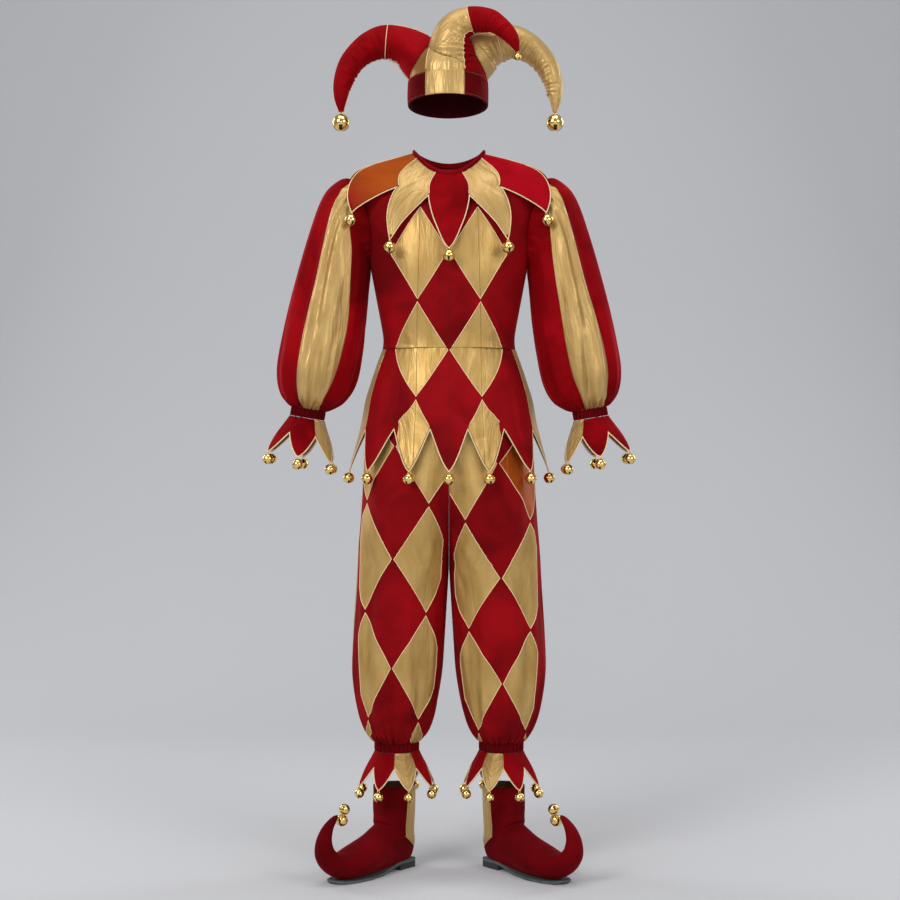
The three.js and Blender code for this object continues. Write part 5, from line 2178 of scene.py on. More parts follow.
CUFF = Frill(6, 0, 35, 73, 31, 78, 11, (5, 2), 42, 34)
ANKLE = Frill(8, -19, 44, 79, 27, 68, 10, (0, 4), 54, 44)
STRIPE = {
    Side.RIGHT: ((0.06, 0.08, 0.15, 0.24, 0.27, 0.245, 0.19, 0.19, 0.21, 0.13),
                 (0.24, 0.3, 0.46, 0.57, 0.63, 0.645, 0.66, 0.645, 0.6, 0.64)),
    Side.LEFT: ((0.06, 0.08, 0.16, 0.23, 0.29, 0.3, 0.29, 0.3, 0.32, 0.38),
                (0.24, 0.3, 0.48, 0.66, 0.735, 0.785, 0.785, 0.75, 0.7, 0.8)),
}
SLEEVE_FOLDS = {
    Side.RIGHT: (
        Fold((0.52, 1.2), (0.36, 5.2), 9, 4.5), Fold((0.24, 1.6), (0.1, 6.6), 10, 4.8),
        Fold((0.36, 2.2), (0.24, 5.8), 7, -4.2), Fold((0.02, 3.2), (-0.14, 8.4), 9, 3.8),
        Fold((0.52, 4.8), (0.4, 8.6), 9, 4.2), Fold((0.16, 5.4), (0.02, 8.7), 7, -3.8),
        Fold((0.3, 6.3), (0.22, 8.8), 6, 3.0), Fold((0.66, 3.0), (0.68, 8.0), 10, -3.4),
        Fold((-0.5, 2.0), (-0.62, 6.4), 13, 3.2), Fold((-0.85, 4.2), (-0.7, 8.2), 11, 3.6),
        Fold((-0.36, 5.0), (-0.4, 8.4), 9, -3.2), Fold((1.05, 1.8), (1.1, 6.6), 14, 3.0),
        Fold((0.95, 5.2), (0.85, 8.5), 11, 3.8), Fold((1.3, 6.0), (1.2, 8.8), 10, -3.0),
        Fold((-1.2, 5.8), (-1.1, 8.6), 10, 3.4), Fold((1.9, 2.0), (2.1, 6.8), 13, 3.8),
        Fold((2.5, 1.6), (2.45, 5.6), 11, 3.4), Fold((2.3, 5.0), (2.4, 8.7), 9, -3.4),
        Fold((3.1, 2.4), (3.0, 8.2), 12, 4.0), Fold((-2.6, 3.0), (-2.5, 8.6), 11, 3.8),
        Fold((-2.0, 4.0), (-1.9, 8.4), 10, -3.2), Fold((2.75, 6.0), (2.8, 8.9), 8, 3.0),
    ),
    Side.LEFT: (
        Fold((0.5, 1.3), (0.3, 5.6), 10, 4.2), Fold((0.2, 1.8), (-0.02, 6.4), 9, 4.6),
        Fold((0.34, 2.4), (0.16, 6.0), 7, -4.0), Fold((-0.14, 3.6), (-0.3, 8.3), 10, 4.2),
        Fold((0.4, 4.6), (0.3, 8.5), 8, 4.4), Fold((0.04, 5.2), (-0.08, 8.6), 8, -4.2),
        Fold((-0.42, 5.6), (-0.44, 8.8), 6, 3.2), Fold((0.18, 6.2), (0.12, 8.8), 5, 2.8),
        Fold((0.62, 3.2), (0.6, 8.2), 9, -3.2), Fold((-0.72, 2.4), (-0.8, 7.0), 12, 3.4),
        Fold((-1.05, 4.6), (-0.95, 8.4), 10, 3.4), Fold((1.0, 2.0), (1.02, 6.2), 13, 3.4),
        Fold((0.9, 5.6), (0.82, 8.7), 10, 3.6), Fold((1.25, 5.4), (1.2, 8.6), 10, -3.2),
        Fold((2.0, 2.2), (2.05, 7.0), 13, 3.6), Fold((2.6, 1.8), (2.5, 6.0), 12, 3.2),
        Fold((2.3, 5.4), (2.35, 8.8), 9, -3.2), Fold((3.05, 2.8), (3.1, 8.4), 11, 3.8),
        Fold((-2.65, 2.6), (-2.6, 8.5), 12, 3.6), Fold((-2.1, 4.4), (-2.0, 8.6), 9, -3.4),
        Fold((-1.5, 5.2), (-1.4, 8.5), 10, 3.2), Fold((2.8, 6.2), (2.75, 8.8), 8, 3.2),
    ),
}


@dataclass(frozen=True)
class Sleeve(Form):
    """Full sleeve of a red velvet piece and a gold front stripe, gathered at cap and cuff."""

    side: Side
    out_x: tuple[float, ...] = (160, 203, 236, 262, 290, 321, 341, 352, 345, 321)
    out_z: tuple[float, ...] = (-90, -52, -62, -96, -176, -286, -372, -440, -488, -513.5)
    in_x: tuple[float, ...] = (126, 160, 161, 162, 165, 171, 180, 193, 216, 254)
    in_z: tuple[float, ...] = (-212, -232, -240, -252, -280, -346, -408, -468, -506, -525)
    deep: tuple[float, ...] = (44, 63, 73, 79, 81, 81, 82, 80, 64, 34)
    cap_end: float = 3.0
    rows: int = 150

    def place(self, angle: Array, row: Array) -> Array:
        """Points of the right-hand sleeve.

        Args:
            angle: Angle round the surface, in radians.
            row: Fractional row of the table.

        Returns:
            The points.
        """
        across = (1 + np.sin(angle)) / 2
        return np.stack([
            blend(along(self.in_x, row), along(self.out_x, row), across),
            -along(self.deep, row) * np.cos(angle),
            blend(along(self.in_z, row), along(self.out_z, row), across),
        ], -1)

    def edges(self, row: Array) -> tuple[Array, Array]:
        """Angles of the gold stripe's outer and inner edge."""
        outer, inner = STRIPE[self.side]
        return np.arcsin(1 - 2 * along(outer, row)), np.arcsin(1 - 2 * along(inner, row))

    def folds(self) -> list[Fold]:
        """Placed folds, and gathers at the cap and cuff.

        Returns:
            The folds.
        """
        seed = self.side.pick(11, 23)
        span = (0.9 - TURN, 0.9)
        cap = gathers(seed, 30, span, (0.9, 2.9), 5.0, 2.6)
        cuff = gathers(seed + 1, 27, span, (self.last, 6.9), 4.6, 4.2)
        short = gathers(seed + 2, 34, span, (self.last, 8.1), 3.0, 1.8)
        return wrapped([*cap, *cuff, *short, *deeper(SLEEVE_FOLDS[self.side], 1.3)])

    def panel(self, gold: bool) -> Panel:
        """Cloth of the stripe or of the rest.

        Args:
            gold: Whether it is the stripe.

        Returns:
            The panel.
        """
        down, across = grid(self.rows, 46 if gold else 150)
        row = self.last * down
        outer, inner = self.edges(row)
        turn = GAP / along(self.deep, row)
        if gold:
            angle = blend(outer - turn, inner + turn, across)
        else:
            angle = blend(inner - turn, outer + turn - TURN, across)
        calm = smooth(0.0, 0.5, row) * (1 - 0.55 * smooth(8.6, self.last, row))
        return panel(self.place, angle, row, self.folds(), calm=calm)

    def hollow(self) -> bpy.types.Object:
        """Room inside the cap, which makes the armhole.

        Returns:
            The solid.
        """
        points = self.room(24, 96, self.cap_end, -CLOTH)
        points[..., 0] *= self.side.mirror
        return block(f"armhole_{self.side.value}", points)

    def build(self, shop: Workshop) -> None:
        """Both pieces, cut off where the bodice begins, and the cuff.

        Args:
            shop: Where the pieces are made.
        """
        tool = block("bodice_room", BODICE.room(60, 120, BODICE.last, BODICE_GROW))
        for key, finish, slot in (("gold", "satin", Finish.SATIN), ("red", "velvet",
                                                                    Finish.VELVET)):
            cloth = moved(self.panel(key == "gold"), STILL, self.side.mirror)
            piece = shop.cloth(f"sleeve_{self.side.value}_{key}", cloth, (finish, "lining"), slot,
                               "gathered", ["bodice_front", "bodice_back"])
            carve(piece, [tool])
        remove([tool])
        lean = math.atan2(self.out_z[-1] - self.in_z[-1], self.out_x[-1] - self.in_x[-1])
        middle = Vector(((self.out_x[-1] + self.in_x[-1]) / 2, 0,
                         (self.out_z[-1] + self.in_z[-1]) / 2))
        at = Matrix.Translation(middle) @ Matrix.Rotation(-lean, 4, "Y")
        CUFF.build(shop, "cuff", self.side, at, self.side.pick(41, 42), lean)


# Trousers


LEG_FOLDS = {
    Side.RIGHT: (
        Fold((-0.2, 3.6), (-0.26, 9.8), 13, 3.0), Fold((-0.42, 6.2), (-0.36, 10.6), 11, 2.6),
        Fold((-0.6, 7.0), (-0.66, 11.2), 10, 2.8), Fold((-0.8, 6.4), (-0.76, 10.4), 11, 2.6),
        Fold((-0.3, 7.4), (-0.32, 11.3), 8, -2.6), Fold((-0.52, 8.0), (-0.5, 11.5), 8, -2.8),
        Fold((-0.12, 8.2), (-0.14, 11.4), 8, 2.8), Fold((-0.7, 9.0), (-0.72, 11.6), 7, -2.6),
        Fold((-0.93, 7.2), (-0.8, 8.6), 9, 2.2), Fold((-0.88, 5.4), (-0.6, 6.6), 9, 2.0),
        Fold((-0.9, 6.0), (-0.72, 7.2), 7, -1.8), Fold((-0.34, 2.0), (-0.38, 5.6), 13, 2.0),
        Fold((-0.06, 5.4), (-0.1, 8.4), 10, -2.0), Fold((-0.88, 9.4), (-0.86, 11.5), 7, 2.8),
    ),
    Side.LEFT: (
        Fold((-0.16, 3.8), (-0.24, 9.4), 13, 3.2), Fold((-0.38, 5.8), (-0.34, 10.8), 12, 2.6),
        Fold((-0.56, 6.8), (-0.62, 11.0), 9, 2.6), Fold((-0.76, 6.8), (-0.78, 10.8), 11, 2.8),
        Fold((-0.28, 7.0), (-0.28, 11.2), 9, -2.6), Fold((-0.47, 8.4), (-0.46, 11.4), 7, -2.8),
        Fold((-0.1, 7.8), (-0.12, 11.5), 8, 2.6), Fold((-0.67, 8.6), (-0.7, 11.5), 8, -2.6),
        Fold((-0.94, 7.6), (-0.82, 8.9), 8, 2.2), Fold((-0.86, 5.2), (-0.62, 6.8), 10, 2.2),
        Fold((-0.92, 6.3), (-0.74, 7.4), 6, -1.8), Fold((-0.3, 2.2), (-0.4, 5.2), 12, 2.0),
        Fold((-0.04, 5.8), (-0.08, 8.8), 9, -1.8), Fold((-0.9, 9.2), (-0.88, 11.4), 8, 2.6),
    ),
}


@dataclass(frozen=True)
class Leg(Form):
    """Front and back of one trouser leg with its half of the seat, gathered at the ankle."""

    side: Side
    z: tuple[float, ...] = (-412, -490, -560, -630, -695, -755, -815, -880, -985, -1060, -1132,
                            -1176, -1199)
    out_x: tuple[float, ...] = (134.4, 157, 166.5, 173, 176.3, 180.4, 185.4, 189, 195.5, 197, 186,
                                170, 151)
    middle: tuple[float, ...] = (0, 4, 17, 40, 63, 80, 91.5, 96, 102.5, 106, 107, 107, 107)
    deep: tuple[float, ...] = (100, 117, 125, 130.4, 132, 128.6, 118, 112, 106, 99, 86, 67, 44)
    rows: int = 176
    columns: int = 92
    ankle: tuple[float, float] = (107, -1199)
    stripe: int = 4
    stripe_top: float = -560.0

    def place(self, u: Array, row: Array) -> Array:
        """Points of the right-hand front, from the side seam (0) to the inner end (-1).

        Args:
            u: Place across it.
            row: Fractional row of the table.

        Returns:
            The points.
        """
        outer, middle = along(self.out_x, row), along(self.middle, row)
        half = outer - middle
        inner = np.arcsin(np.clip((GAP - middle) / half, -1, 1))
        angle = blend(QUARTER, inner, -u)
        return np.stack([middle + half * np.sin(angle), -along(self.deep, row) * np.cos(angle),
                         along(self.z, row)], -1)

    def folds(self, front: bool) -> list[Fold]:
        """Placed folds and the gathers above the ankle.

        Args:
            front: Whether it is the front.

        Returns:
            The folds.
        """
        seed = self.side.pick(51, 61) + (0 if front else 3)
        ankle = gathers(seed, 15, (-1.0, 0.0), (self.last, 9.4), 5.0, 4.4)
        short = gathers(seed + 1, 19, (-1.0, 0.0), (self.last, 11.0), 3.4, 2.4)
        waist = gathers(seed + 2, 9, (-1.0, 0.0), (0.0, 1.6), 7.0, 1.4)
        placed = LEG_FOLDS[self.side]
        if not front:
            placed = [replace(f, start=(-0.03 + f.start[0] * 0.97, f.start[1] + 0.2),
                              end=(f.end[0] * 0.96, f.end[1] - 0.15), width=f.width * 1.05)
                      for f in placed]
        return [*ankle, *short, *waist, *deeper(placed, 1.5)]

    def grid(self) -> tuple[Array, Array]:
        """Places of the grid across and down.

        Returns:
            The places across and the fractional rows.
        """
        down, across = grid(self.rows, self.columns)
        height = blend(self.z[0], self.z[-1], down)
        return across - 1, np.interp(-height, -np.array(self.z), np.arange(len(self.z)))

    def panel(self, front: bool) -> Panel:
        """Cloth of the front or the back, mirrored to its side.

        Args:
            front: Whether it is the front.

        Returns:
            The panel.
        """
        u, v = self.grid()
        calm = calm_edges(self.columns + 1, 5) * (1 - 0.5 * smooth(11.6, self.last, v))
        cloth = panel(self.place, u, v, self.folds(front), calm=calm)
        for points in (cloth.outer, cloth.inner):
            points[..., 0] = np.maximum(points[..., 0], GAP)
            points[..., 1] = np.minimum(points[..., 1], -GAP)
        place = self.place(u, v)
        cloth.gold = self.special(place, *cloth.lay_diamonds(LEG_DIAMONDS[self.side], place))
        return moved(cloth, STILL, self.side.mirror, 1.0 if front else -1.0)

    def special(self, place: Array, u: Array, v: Array) -> Array:
        """Finish number of each face: the left leg's side stripe, and the right one's upper outer
        diamond, whose gold is painted rust as in shade.

        Args:
            place: Points before the folds.
            u: u of the diamonds.
            v: v of the diamonds.

        Returns:
            The finish numbers.
        """
        if self.side is Side.RIGHT:
            # The right leg's upper outer diamond takes finish 1, its gold painted rust as in shade.
            return ((u[1:, 1:] > 0.02) & (v[1:, 1:] < 1.0)).astype(int)
        column = np.arange(self.columns)[None]
        beside = column >= self.columns - self.stripe
        return (beside & (place[1:, 1:, 2] < self.stripe_top)).astype(int)

    def build(self, shop: Workshop, cords: Skin) -> None:
        """Both pieces with their piped diamonds, and the ankle's band and frill.

        Args:
            shop: Where the pieces are made.
            cords: Skin that takes the piping.
        """
        second = self.side.pick("rust_diamonds", "satin")
        for key, front in (("front", True), ("back", False)):
            cloth = self.panel(front)
            shop.cloth(f"trousers_{key}_{self.side.value}", cloth,
                       ("trouser_diamonds", second, "lining"), Finish.VELVET, "gathered")
            diamond_cords(cords, cloth)
        at = Matrix.Translation(Vector((self.ankle[0], 0, self.ankle[1])))
        ANKLE.build(shop, "ankle", self.side, at, self.side.pick(71, 72))


# Hat


@dataclass(frozen=True)
class Horn(Form):
    """Stuffed horn: elliptical rings square to a path, in the hat's frame."""

    name: str
    x: tuple[float, ...]
    y: tuple[float, ...]
    z: tuple[float, ...]
    r: tuple[float, ...]
    deep: tuple[float, ...]
    wrinkles: tuple[float, float, float, float]
    seed: int
    height: float = 1.7

    def middle(self, row: Array) -> Array:
        """Points of the path."""
        return np.stack([along(self.x, row), along(self.y, row), along(self.z, row)], -1)

    def place(self, angle: Array, row: Array) -> Array:
        """Points of the horn: angle 0 on its outer bend, a quarter turn in front.

        Args:
            angle: Angle round the surface, in radians.
            row: Fractional row of the table.

        Returns:
            The points.
        """
        step = 1e-3
        onward = unit(self.middle(row + step) - self.middle(row - step))
        across = unit(np.cross(onward, (0.0, -1.0, 0.0)))
        front = np.cross(across, onward)
        return (self.middle(row) + across * (along(self.r, row) * np.cos(angle))[..., None]
                + front * (along(self.deep, row) * np.sin(angle))[..., None])

    def folds(self) -> list[Fold]:
        """Wrinkles across the horn on the inside of its bend, uneven in place and depth.

        Returns:
            The folds.
        """
        start, end, around, spread = self.wrinkles
        rng = np.random.default_rng(self.seed)
        folds, row = [], start
        while row < end:
            size = rng.uniform(0.55, 1.35) * self.height
            at = around + rng.uniform(-0.35, 0.35)
            wide = spread * rng.uniform(0.55, 1.1)
            tilt = rng.uniform(-0.12, 0.12)
            folds.append(Fold((at - wide, row - tilt), (at + wide, row + tilt),
                              rng.uniform(1.9, 2.9), size))
            folds.append(Fold((at - 0.8 * wide, row + 0.11 - tilt), (at + 0.8 * wide, row + 0.11
                              + tilt), rng.uniform(1.6, 2.3), -0.8 * size))
            row += rng.uniform(0.17, 0.3)
        return wrapped(folds)

    def body(self, borders: Callable[[Array], tuple[Array, Array]],
             chooser: Callable[[Array, Array], Array]) -> tuple[Skin, Array, Place]:
        """Filled horn whose grid follows two borders between finishes.

        Args:
            borders: Angles of the two borders at a row.
            chooser: Finish number from the half (0 or 1) and row of each face.

        Returns:
            The skin, its flow map and its folded surface.
        """
        rows, half = 132, 44
        down, across = grid(rows, 2 * half)
        row = self.last * down ** 0.95
        first, second = borders(row)
        place = across * 2
        angle = np.where(place <= 1, blend(first, second, place),
                         blend(second, first + TURN, place - 1))
        surface = raised(self.place, self.folds())
        points = surface(angle, row)
        points[:, -1] = points[:, 0]
        finish = chooser((place[1:, 1:] > 1.0001).astype(int), row[1:, 1:])
        skin, flow = solid_tube(points, finish)
        return skin, flow, surface


SIDE_HORN = Horn(
    "hat_horn_right", (30, 56.6, 84, 125.7, 154.8, 180, 202, 215.5, 220, 219), (0,) * 10,
    (62, 99.5, 122.4, 134.5, 127.8, 111.2, 85, 50.9, 18.9, -12.5),
    (44, 47, 39.5, 34.5, 31, 27, 23.8, 19.5, 14, 4.5),
    (50, 58, 48, 37, 32, 27, 23.8, 19.5, 14, 4.5), (1.2, 7.9, 0.55, 1.4), 8, 2.6)


@dataclass(frozen=True)
class Hat:
    """Three-horned hat: turned-up band, crown and stuffed horns, with a bell on each."""

    x: float = -2.0
    z: float = 100.0
    tilt: float = -4.8
    wide: float = 81.5
    deep: float = 98.5
    band: float = 49.0
    gold: tuple[float, float] = (-33.5, 24.0)
    red_end: float = 84.0
    crown_r: tuple[float, ...] = (0.5, 28, 52, 70, 78, 79.4, 79.4)
    crown_z: tuple[float, ...] = (132, 128, 116, 96, 72, 49, 0.5)
    cells: int = 110
    side_bell: float = 17.8
    front_bell: float = 7.5
    left: Horn = replace(SIDE_HORN, name="hat_horn_left", x=tuple(-x for x in SIDE_HORN.x),
                         wrinkles=(1.6, 7.6, 2.5, 1.35), seed=7, height=2.4)
    right: Horn = SIDE_HORN
    front: Horn = Horn(
        "hat_horn_front", (14, 6, 14, 46.3, 82, 101.6, 119, 131, 140),
        (-38, -52, -61, -67, -73, -75, -77, -78, -79),
        (53, 100.5, 140.7, 158.9, 156.8, 146.8, 131.3, 114.6, 92),
        (54, 47, 36, 28, 24, 20, 17, 13, 4), (50, 45, 35, 28, 24, 20, 17, 13, 4),
        (0.3, 5.8, 0.85, 1.35), 9, 3.0)

    @property
    def frame(self) -> Matrix:
        """Place of the hat: the middle of the band's lower edge, tilted back."""
        return (Matrix.Translation(Vector((self.x, 0, self.z)))
                @ Matrix.Rotation(math.radians(self.tilt), 4, "X"))

    @property
    def crown_form(self) -> Rings:
        """The crown's surface."""
        scale = self.deep / self.wide
        return Rings(self.crown_r, tuple(r * scale for r in self.crown_r), self.crown_z)

    def band_piece(self, shop: Workshop, name: str, start: float, end: float, finish: str,
                   slot: Finish, threads: Skin) -> None:
        """Part of the turned-up band, rolled at its edges, with two stitched rows.

        Args:
            shop: Where the pieces are made.
            name: Its name.
            start: Angle where it starts, in degrees.
            end: Angle where it ends, in degrees.
            finish: Its material.
            slot: Its slot.
            threads: Skin that takes the stitches.
        """
        form = Rings((self.wide,) * 2, (self.deep,) * 2, (self.band, 0.0))
        columns = 2 * int((end - start) / 360 * self.cells)
        down, across = grid(20, columns)
        gap = math.degrees(GAP / self.wide)
        angle = np.radians(blend(start + gap, end - gap, across))
        roll = 0.9 * (np.sin(math.pi * down) ** 0.6 - 1)
        folds = [Fold((math.radians(a), 0.1), (math.radians(a + 5), 0.9), 9, h)
                 for a, h in ((-12, 0.6), (10, 0.5), (50, 0.9), (75, -0.8), (120, 0.9),
                              (170, -0.7), (215, 0.8), (262, 0.9), (300, -0.7))]
        local = panel(form.place, angle, down, folds, 3.0, extra=roll,
                      calm=calm_edges(columns + 1, 3))
        shop.cloth(name, moved(local, self.frame), (finish, "backing"), slot, "folded",
                   ["hat_crown"])
        column = np.linspace(1, columns - 1, max(columns, 8))
        for row in (1.4, 18.6):
            rows = Skin()
            stitch_row(rows, local, np.full(len(column), row), column)
            threads.add(np.concatenate(rows.moved(self.frame).points), rows.faces)

    def crown(self, shop: Workshop, cords: Skin) -> None:
        """Cap that the head goes into: gold and red panels in front, and at the sides gold satin
        painted brownish as in shade.

        Args:
            shop: Where the pieces are made.
            cords: Skin that takes the piping.
        """
        down, across = grid(64, 132)
        form = self.crown_form
        angle = TURN * across
        folds = wrapped(gathers(77, 16, (0.0, TURN), (1.0, 4.2), 7.0, 1.0))
        height = 0.5 * np.sin(9 * angle) * smooth(0.1, 0.5, down)
        local = panel(form.place, angle, form.last * down, folds, tube=True, extra=height - 1.0)
        face = (np.degrees(angle[1:, 1:]) - 1 + 180) % 360 - 180
        first, second = self.gold
        # Finish 0 is gold satin painted brownish as in shade, 1 is gold satin and 2 red velvet.
        local.gold = np.where((face > first) & (face < second), 1,
                              np.where((face >= second) & (face < self.red_end), 2, 0))
        shop.cloth("hat_crown", moved(local, self.frame),
                   ("bronze_satin", "satin", "velvet", "backing"), Finish.SATIN, "stretched")
        row = np.linspace(2.4, 4.8, 30)
        for edge in (first, second, self.red_end):
            side = np.full(30, math.radians(edge))
            normal = facing_out(form.place, side, row)
            path = form.place(side, row) + 0.7 * normal
            cords.add(*sweep(path, normal, HAT_CORD, CORD_SIDES, False))

    def tools(self) -> tuple[bpy.types.Object, bpy.types.Object]:
        """Rooms of the crown and of the front horn.

        Returns:
            The solids.
        """
        form, front = self.crown_form, self.front
        rooms = (form.room(40, 96, form.last, 0.6), front.room(60, 48, front.last, 0.5))
        return tuple(block("hat_room", sent(room, self.frame)) for room in rooms)

    def horn(self, shop: Workshop, horn: Horn, borders: Callable, chooser: Callable,
             finishes: Sequence[str], slot: Finish, tools: Sequence[bpy.types.Object],
             cords: Skin, lines: Sequence[tuple[str, float, float]]) -> None:
        """One horn with its seams piped.

        Args:
            shop: Where it is made.
            horn: Its form.
            borders: Angles of its two borders at a row.
            chooser: Finish number of each half and row.
            finishes: Its materials.
            slot: Its slot.
            tools: Rooms to take away from it.
            cords: Where its piping goes.
            lines: Borders that are piped, with first and last row, or a row right round.
        """
        skin, flow, surface = horn.body(borders, chooser)
        skin = skin.moved(self.frame)
        piece = shop.build(horn.name, skin, finishes, slot, {"Flow": flow}, weld=True)
        carve(piece, tools)
        for kind, start, end in lines:
            if kind == "round":
                angle = np.linspace(0, TURN, 61)[:-1]
                row = np.full(60, start)
            else:
                row = np.linspace(start, end, 70)
                angle = borders(row)[0 if kind == "first" else 1]
            path = surface(angle, row)
            normal = facing_out(horn.place, angle, row)
            cords.add(*sweep(path + normal * 0.3, normal, HAT_CORD, CORD_SIDES,
                             kind == "round"))

    def build(self, shop: Workshop, threads: Skin) -> None:
        """The whole hat.

        Args:
            shop: Where the pieces are made.
            threads: Skin that takes the stitches.
        """
        start, end = self.gold
        self.band_piece(shop, "hat_band_gold", start, end, "satin", Finish.SATIN, threads)
        self.band_piece(shop, "hat_band_red", end, 360 + start, "dark_red_velvet",
                        Finish.VELVET, threads)
        cords = Skin()
        self.crown(shop, cords)
        dome, room = self.tools()

        def left_borders(row: Array) -> tuple[Array, Array]:
            """Gold back half, which shows above and below up to the cross seam."""
            fade = smooth(2.7, 3.1, row)
            return blend(0.22, -0.3, fade), blend(math.pi - 0.12, math.pi + 0.3, fade)

        def front_borders(row: Array) -> tuple[Array, Array]:
            """Gold front and left side, red at the right, up to the cross seam."""
            return reach(row, (0, 1, 2, 3, 9), (1.26, 1.03, 0.8, 0.5, 0.5)), 3.6 + 0 * row

        def plain(row: Array) -> tuple[Array, Array]:
            """Seams on the outer and inner bend."""
            return 0.0 * row, math.pi + 0 * row

        self.horn(shop, self.left, left_borders, lambda part, row: part, ("velvet", "satin"),
                  Finish.VELVET, (dome, room), cords,
                  (("first", 1.5, 8.9), ("second", 1.5, 8.9), ("round", 3.0, 3.0)))
        self.horn(shop, self.right, plain, lambda part, row: 0 * part, ("satin",), Finish.SATIN,
                  (dome, room), cords, (("round", 2.4, 2.4),))
        self.horn(shop, self.front, front_borders,
                  lambda part, row: np.where(row > 3.0, 1, part), ("satin", "velvet"),
                  Finish.SATIN, (dome,), cords, (("first", 0.2, 3.0), ("round", 3.0, 3.0)))
        remove((dome, room))
        shop.build("hat_piping", cords.moved(self.frame), ("piping",), Finish.PIPING)
        for horn, radius, node in ((self.left, self.side_bell, "hat_bell_left"),
                                   (self.right, self.side_bell, "hat_bell_right"),
                                   (self.front, self.front_bell, "hat_bell_front")):
            skin = Skin()
            tip = horn.middle(np.array(horn.last))
            BELL.hang(skin, tip - (0, 0, 0.8), radius, (0.0, 0.0, -1.0), 0.6 + horn.last)
            shop.build(node, skin.moved(self.frame), BELL_FINISHES, Finish.BRASS)


# Boots


@dataclass(frozen=True)
class Boot(Form):
    """Ankle boot with a curled toe, in a frame at the back of its heel on the floor."""

    side: Side
    forward: tuple[float, ...] = (46, 46, 48, 52, 108, 165, 207, 240, 262, 265, 254, 236, 226)
    up: tuple[float, ...] = (170, 130, 92, 56, 44, 36, 32, 42, 64, 90, 112, 127, 132)
    turn: tuple[float, ...] = (0, 4, 18, 45, 78, 88, 94, 118, 152, 186, 210, 240, 250)
    wide: tuple[float, ...] = (40, 39, 37, 35, 38, 44, 38, 30, 23, 17, 12, 7, 3)
    deep: tuple[float, ...] = (46, 47, 50, 62, 42, 31, 27, 22, 18, 13.5, 9.5, 6, 3)
    wall: float = 2.5
    hollow_rows: float = 7.0
    sole: tuple[tuple[float, float], ...] = (
        (-40, 17.3), (14, 17.3), (62, 17.3), (92, 11.3), (122, 5.3), (166, 5.3), (206, 5.3),
        (236, 9.3), (256, 7.3))
    treads: tuple[tuple[float, float, float], ...] = (
        (3, 21.5, 12), (14, 29.3, 12), (62, 30, 12), (92, 30.5, 6), (122, 33, 0), (166, 39, 0),
        (206, 33, 0), (230, 22, 1.5), (241, 9, 3.5))
    stripe: tuple[float, float] = (-125.0, -82.0)
    stripe_end: float = 2.75
    x: float = 85.0
    y: float = 37.0
    splay: float = 37.0
    link: float = 3.2
    wire: float = 0.9
    hanger: float = 1.1
    bells: tuple[tuple[float, float, float, float], ...] = (
        (3, 208, 121, 12), (-9, 214, 145, 11))
    folds: tuple[Fold, ...] = (
        Fold((-1.2, 2.2), (1.0, 2.35), 5, 2.2), Fold((-0.9, 2.55), (1.3, 2.7), 5, -1.8),
        Fold((-1.3, 2.95), (0.9, 3.1), 6, 2.0), Fold((-0.8, 3.35), (1.2, 3.45), 6, -1.4),
        Fold((-2.4, 2.4), (-1.2, 2.7), 6, 1.5), Fold((1.2, 2.5), (2.4, 2.3), 6, 1.6),
        Fold((-0.3, 0.3), (-0.45, 2.0), 10, 1.6), Fold((0.7, 0.5), (0.5, 1.9), 9, 1.4),
        Fold((2.2, 0.4), (2.5, 2.2), 10, 1.3), Fold((-2.8, 0.6), (-2.6, 2.4), 9, 1.2),
        Fold((0.2, 3.9), (0.15, 6.2), 13, 1.4), Fold((-0.9, 5.4), (0.9, 5.6), 6, -0.9),
        Fold((-0.8, 6.6), (0.8, 6.7), 4, 0.8), Fold((-0.9, 7.2), (0.7, 7.3), 4, -0.8),
        Fold((-0.7, 7.9), (0.8, 8.0), 3, 0.7), Fold((1.3, 4.0), (1.7, 5.4), 9, 1.2),
        Fold((-1.5, 4.2), (-1.8, 5.6), 9, 1.1),
    )

    def place(self, angle: Array, row: Array) -> Array:
        """Points of the upper.

        Args:
            angle: Angle round the surface, in radians.
            row: Fractional row of the table.

        Returns:
            The points.
        """
        turn = np.radians(along(self.turn, row))
        swing = along(self.deep, row) * np.cos(angle)
        return np.stack([
            along(self.wide, row) * np.sin(angle),
            -along(self.forward, row) - swing * np.cos(turn),
            along(self.up, row) + swing * np.sin(turn),
        ], -1)

    @property
    def frame(self) -> Matrix:
        """Place of the right-hand boot."""
        return (Matrix.Translation(Vector((self.x, self.y, FLOOR)))
                @ Matrix.Rotation(math.radians(self.splay), 4, "Z"))

    def send(self, points: Array) -> Array:
        """Points in the boot's frame put in their place on its side."""
        return sent(points, self.frame, self.side.mirror)

    def upper(self, shop: Workshop) -> None:
        """Velvet upper: a form hollowed down to the toes and cut flat above the sole.

        Args:
            shop: Where the pieces are made.
        """
        down, across = grid(190, 88)
        angle, row = TURN * across, self.last * down
        outer = raised(self.place, wrapped(self.folds))(angle, row)
        outer[:, -1] = outer[:, 0]
        skin, flow = solid_tube(self.send(outer))
        name = f"boot_{self.side.value}_upper"
        piece = shop.build(name, skin, ("boot_velvet", "lining"), Finish.VELVET, {"Flow": flow},
                           weld=True)
        down, across = grid(70, 60)
        angle, row = TURN * across, self.hollow_rows * down
        inner = raised(self.place, wrapped(self.folds), -self.wall)(angle, row)
        inner[0, :, 2] += 2
        inner[:, -1] = inner[:, 0]
        tools = (block("boot_room", self.send(inner)), self.clearance())
        tools[0].data.materials.append(shop.materials["lining"])
        carve(piece, tools)
        remove(tools)
        cloth = Panel(self.send(outer), self.send(outer * 0.999))

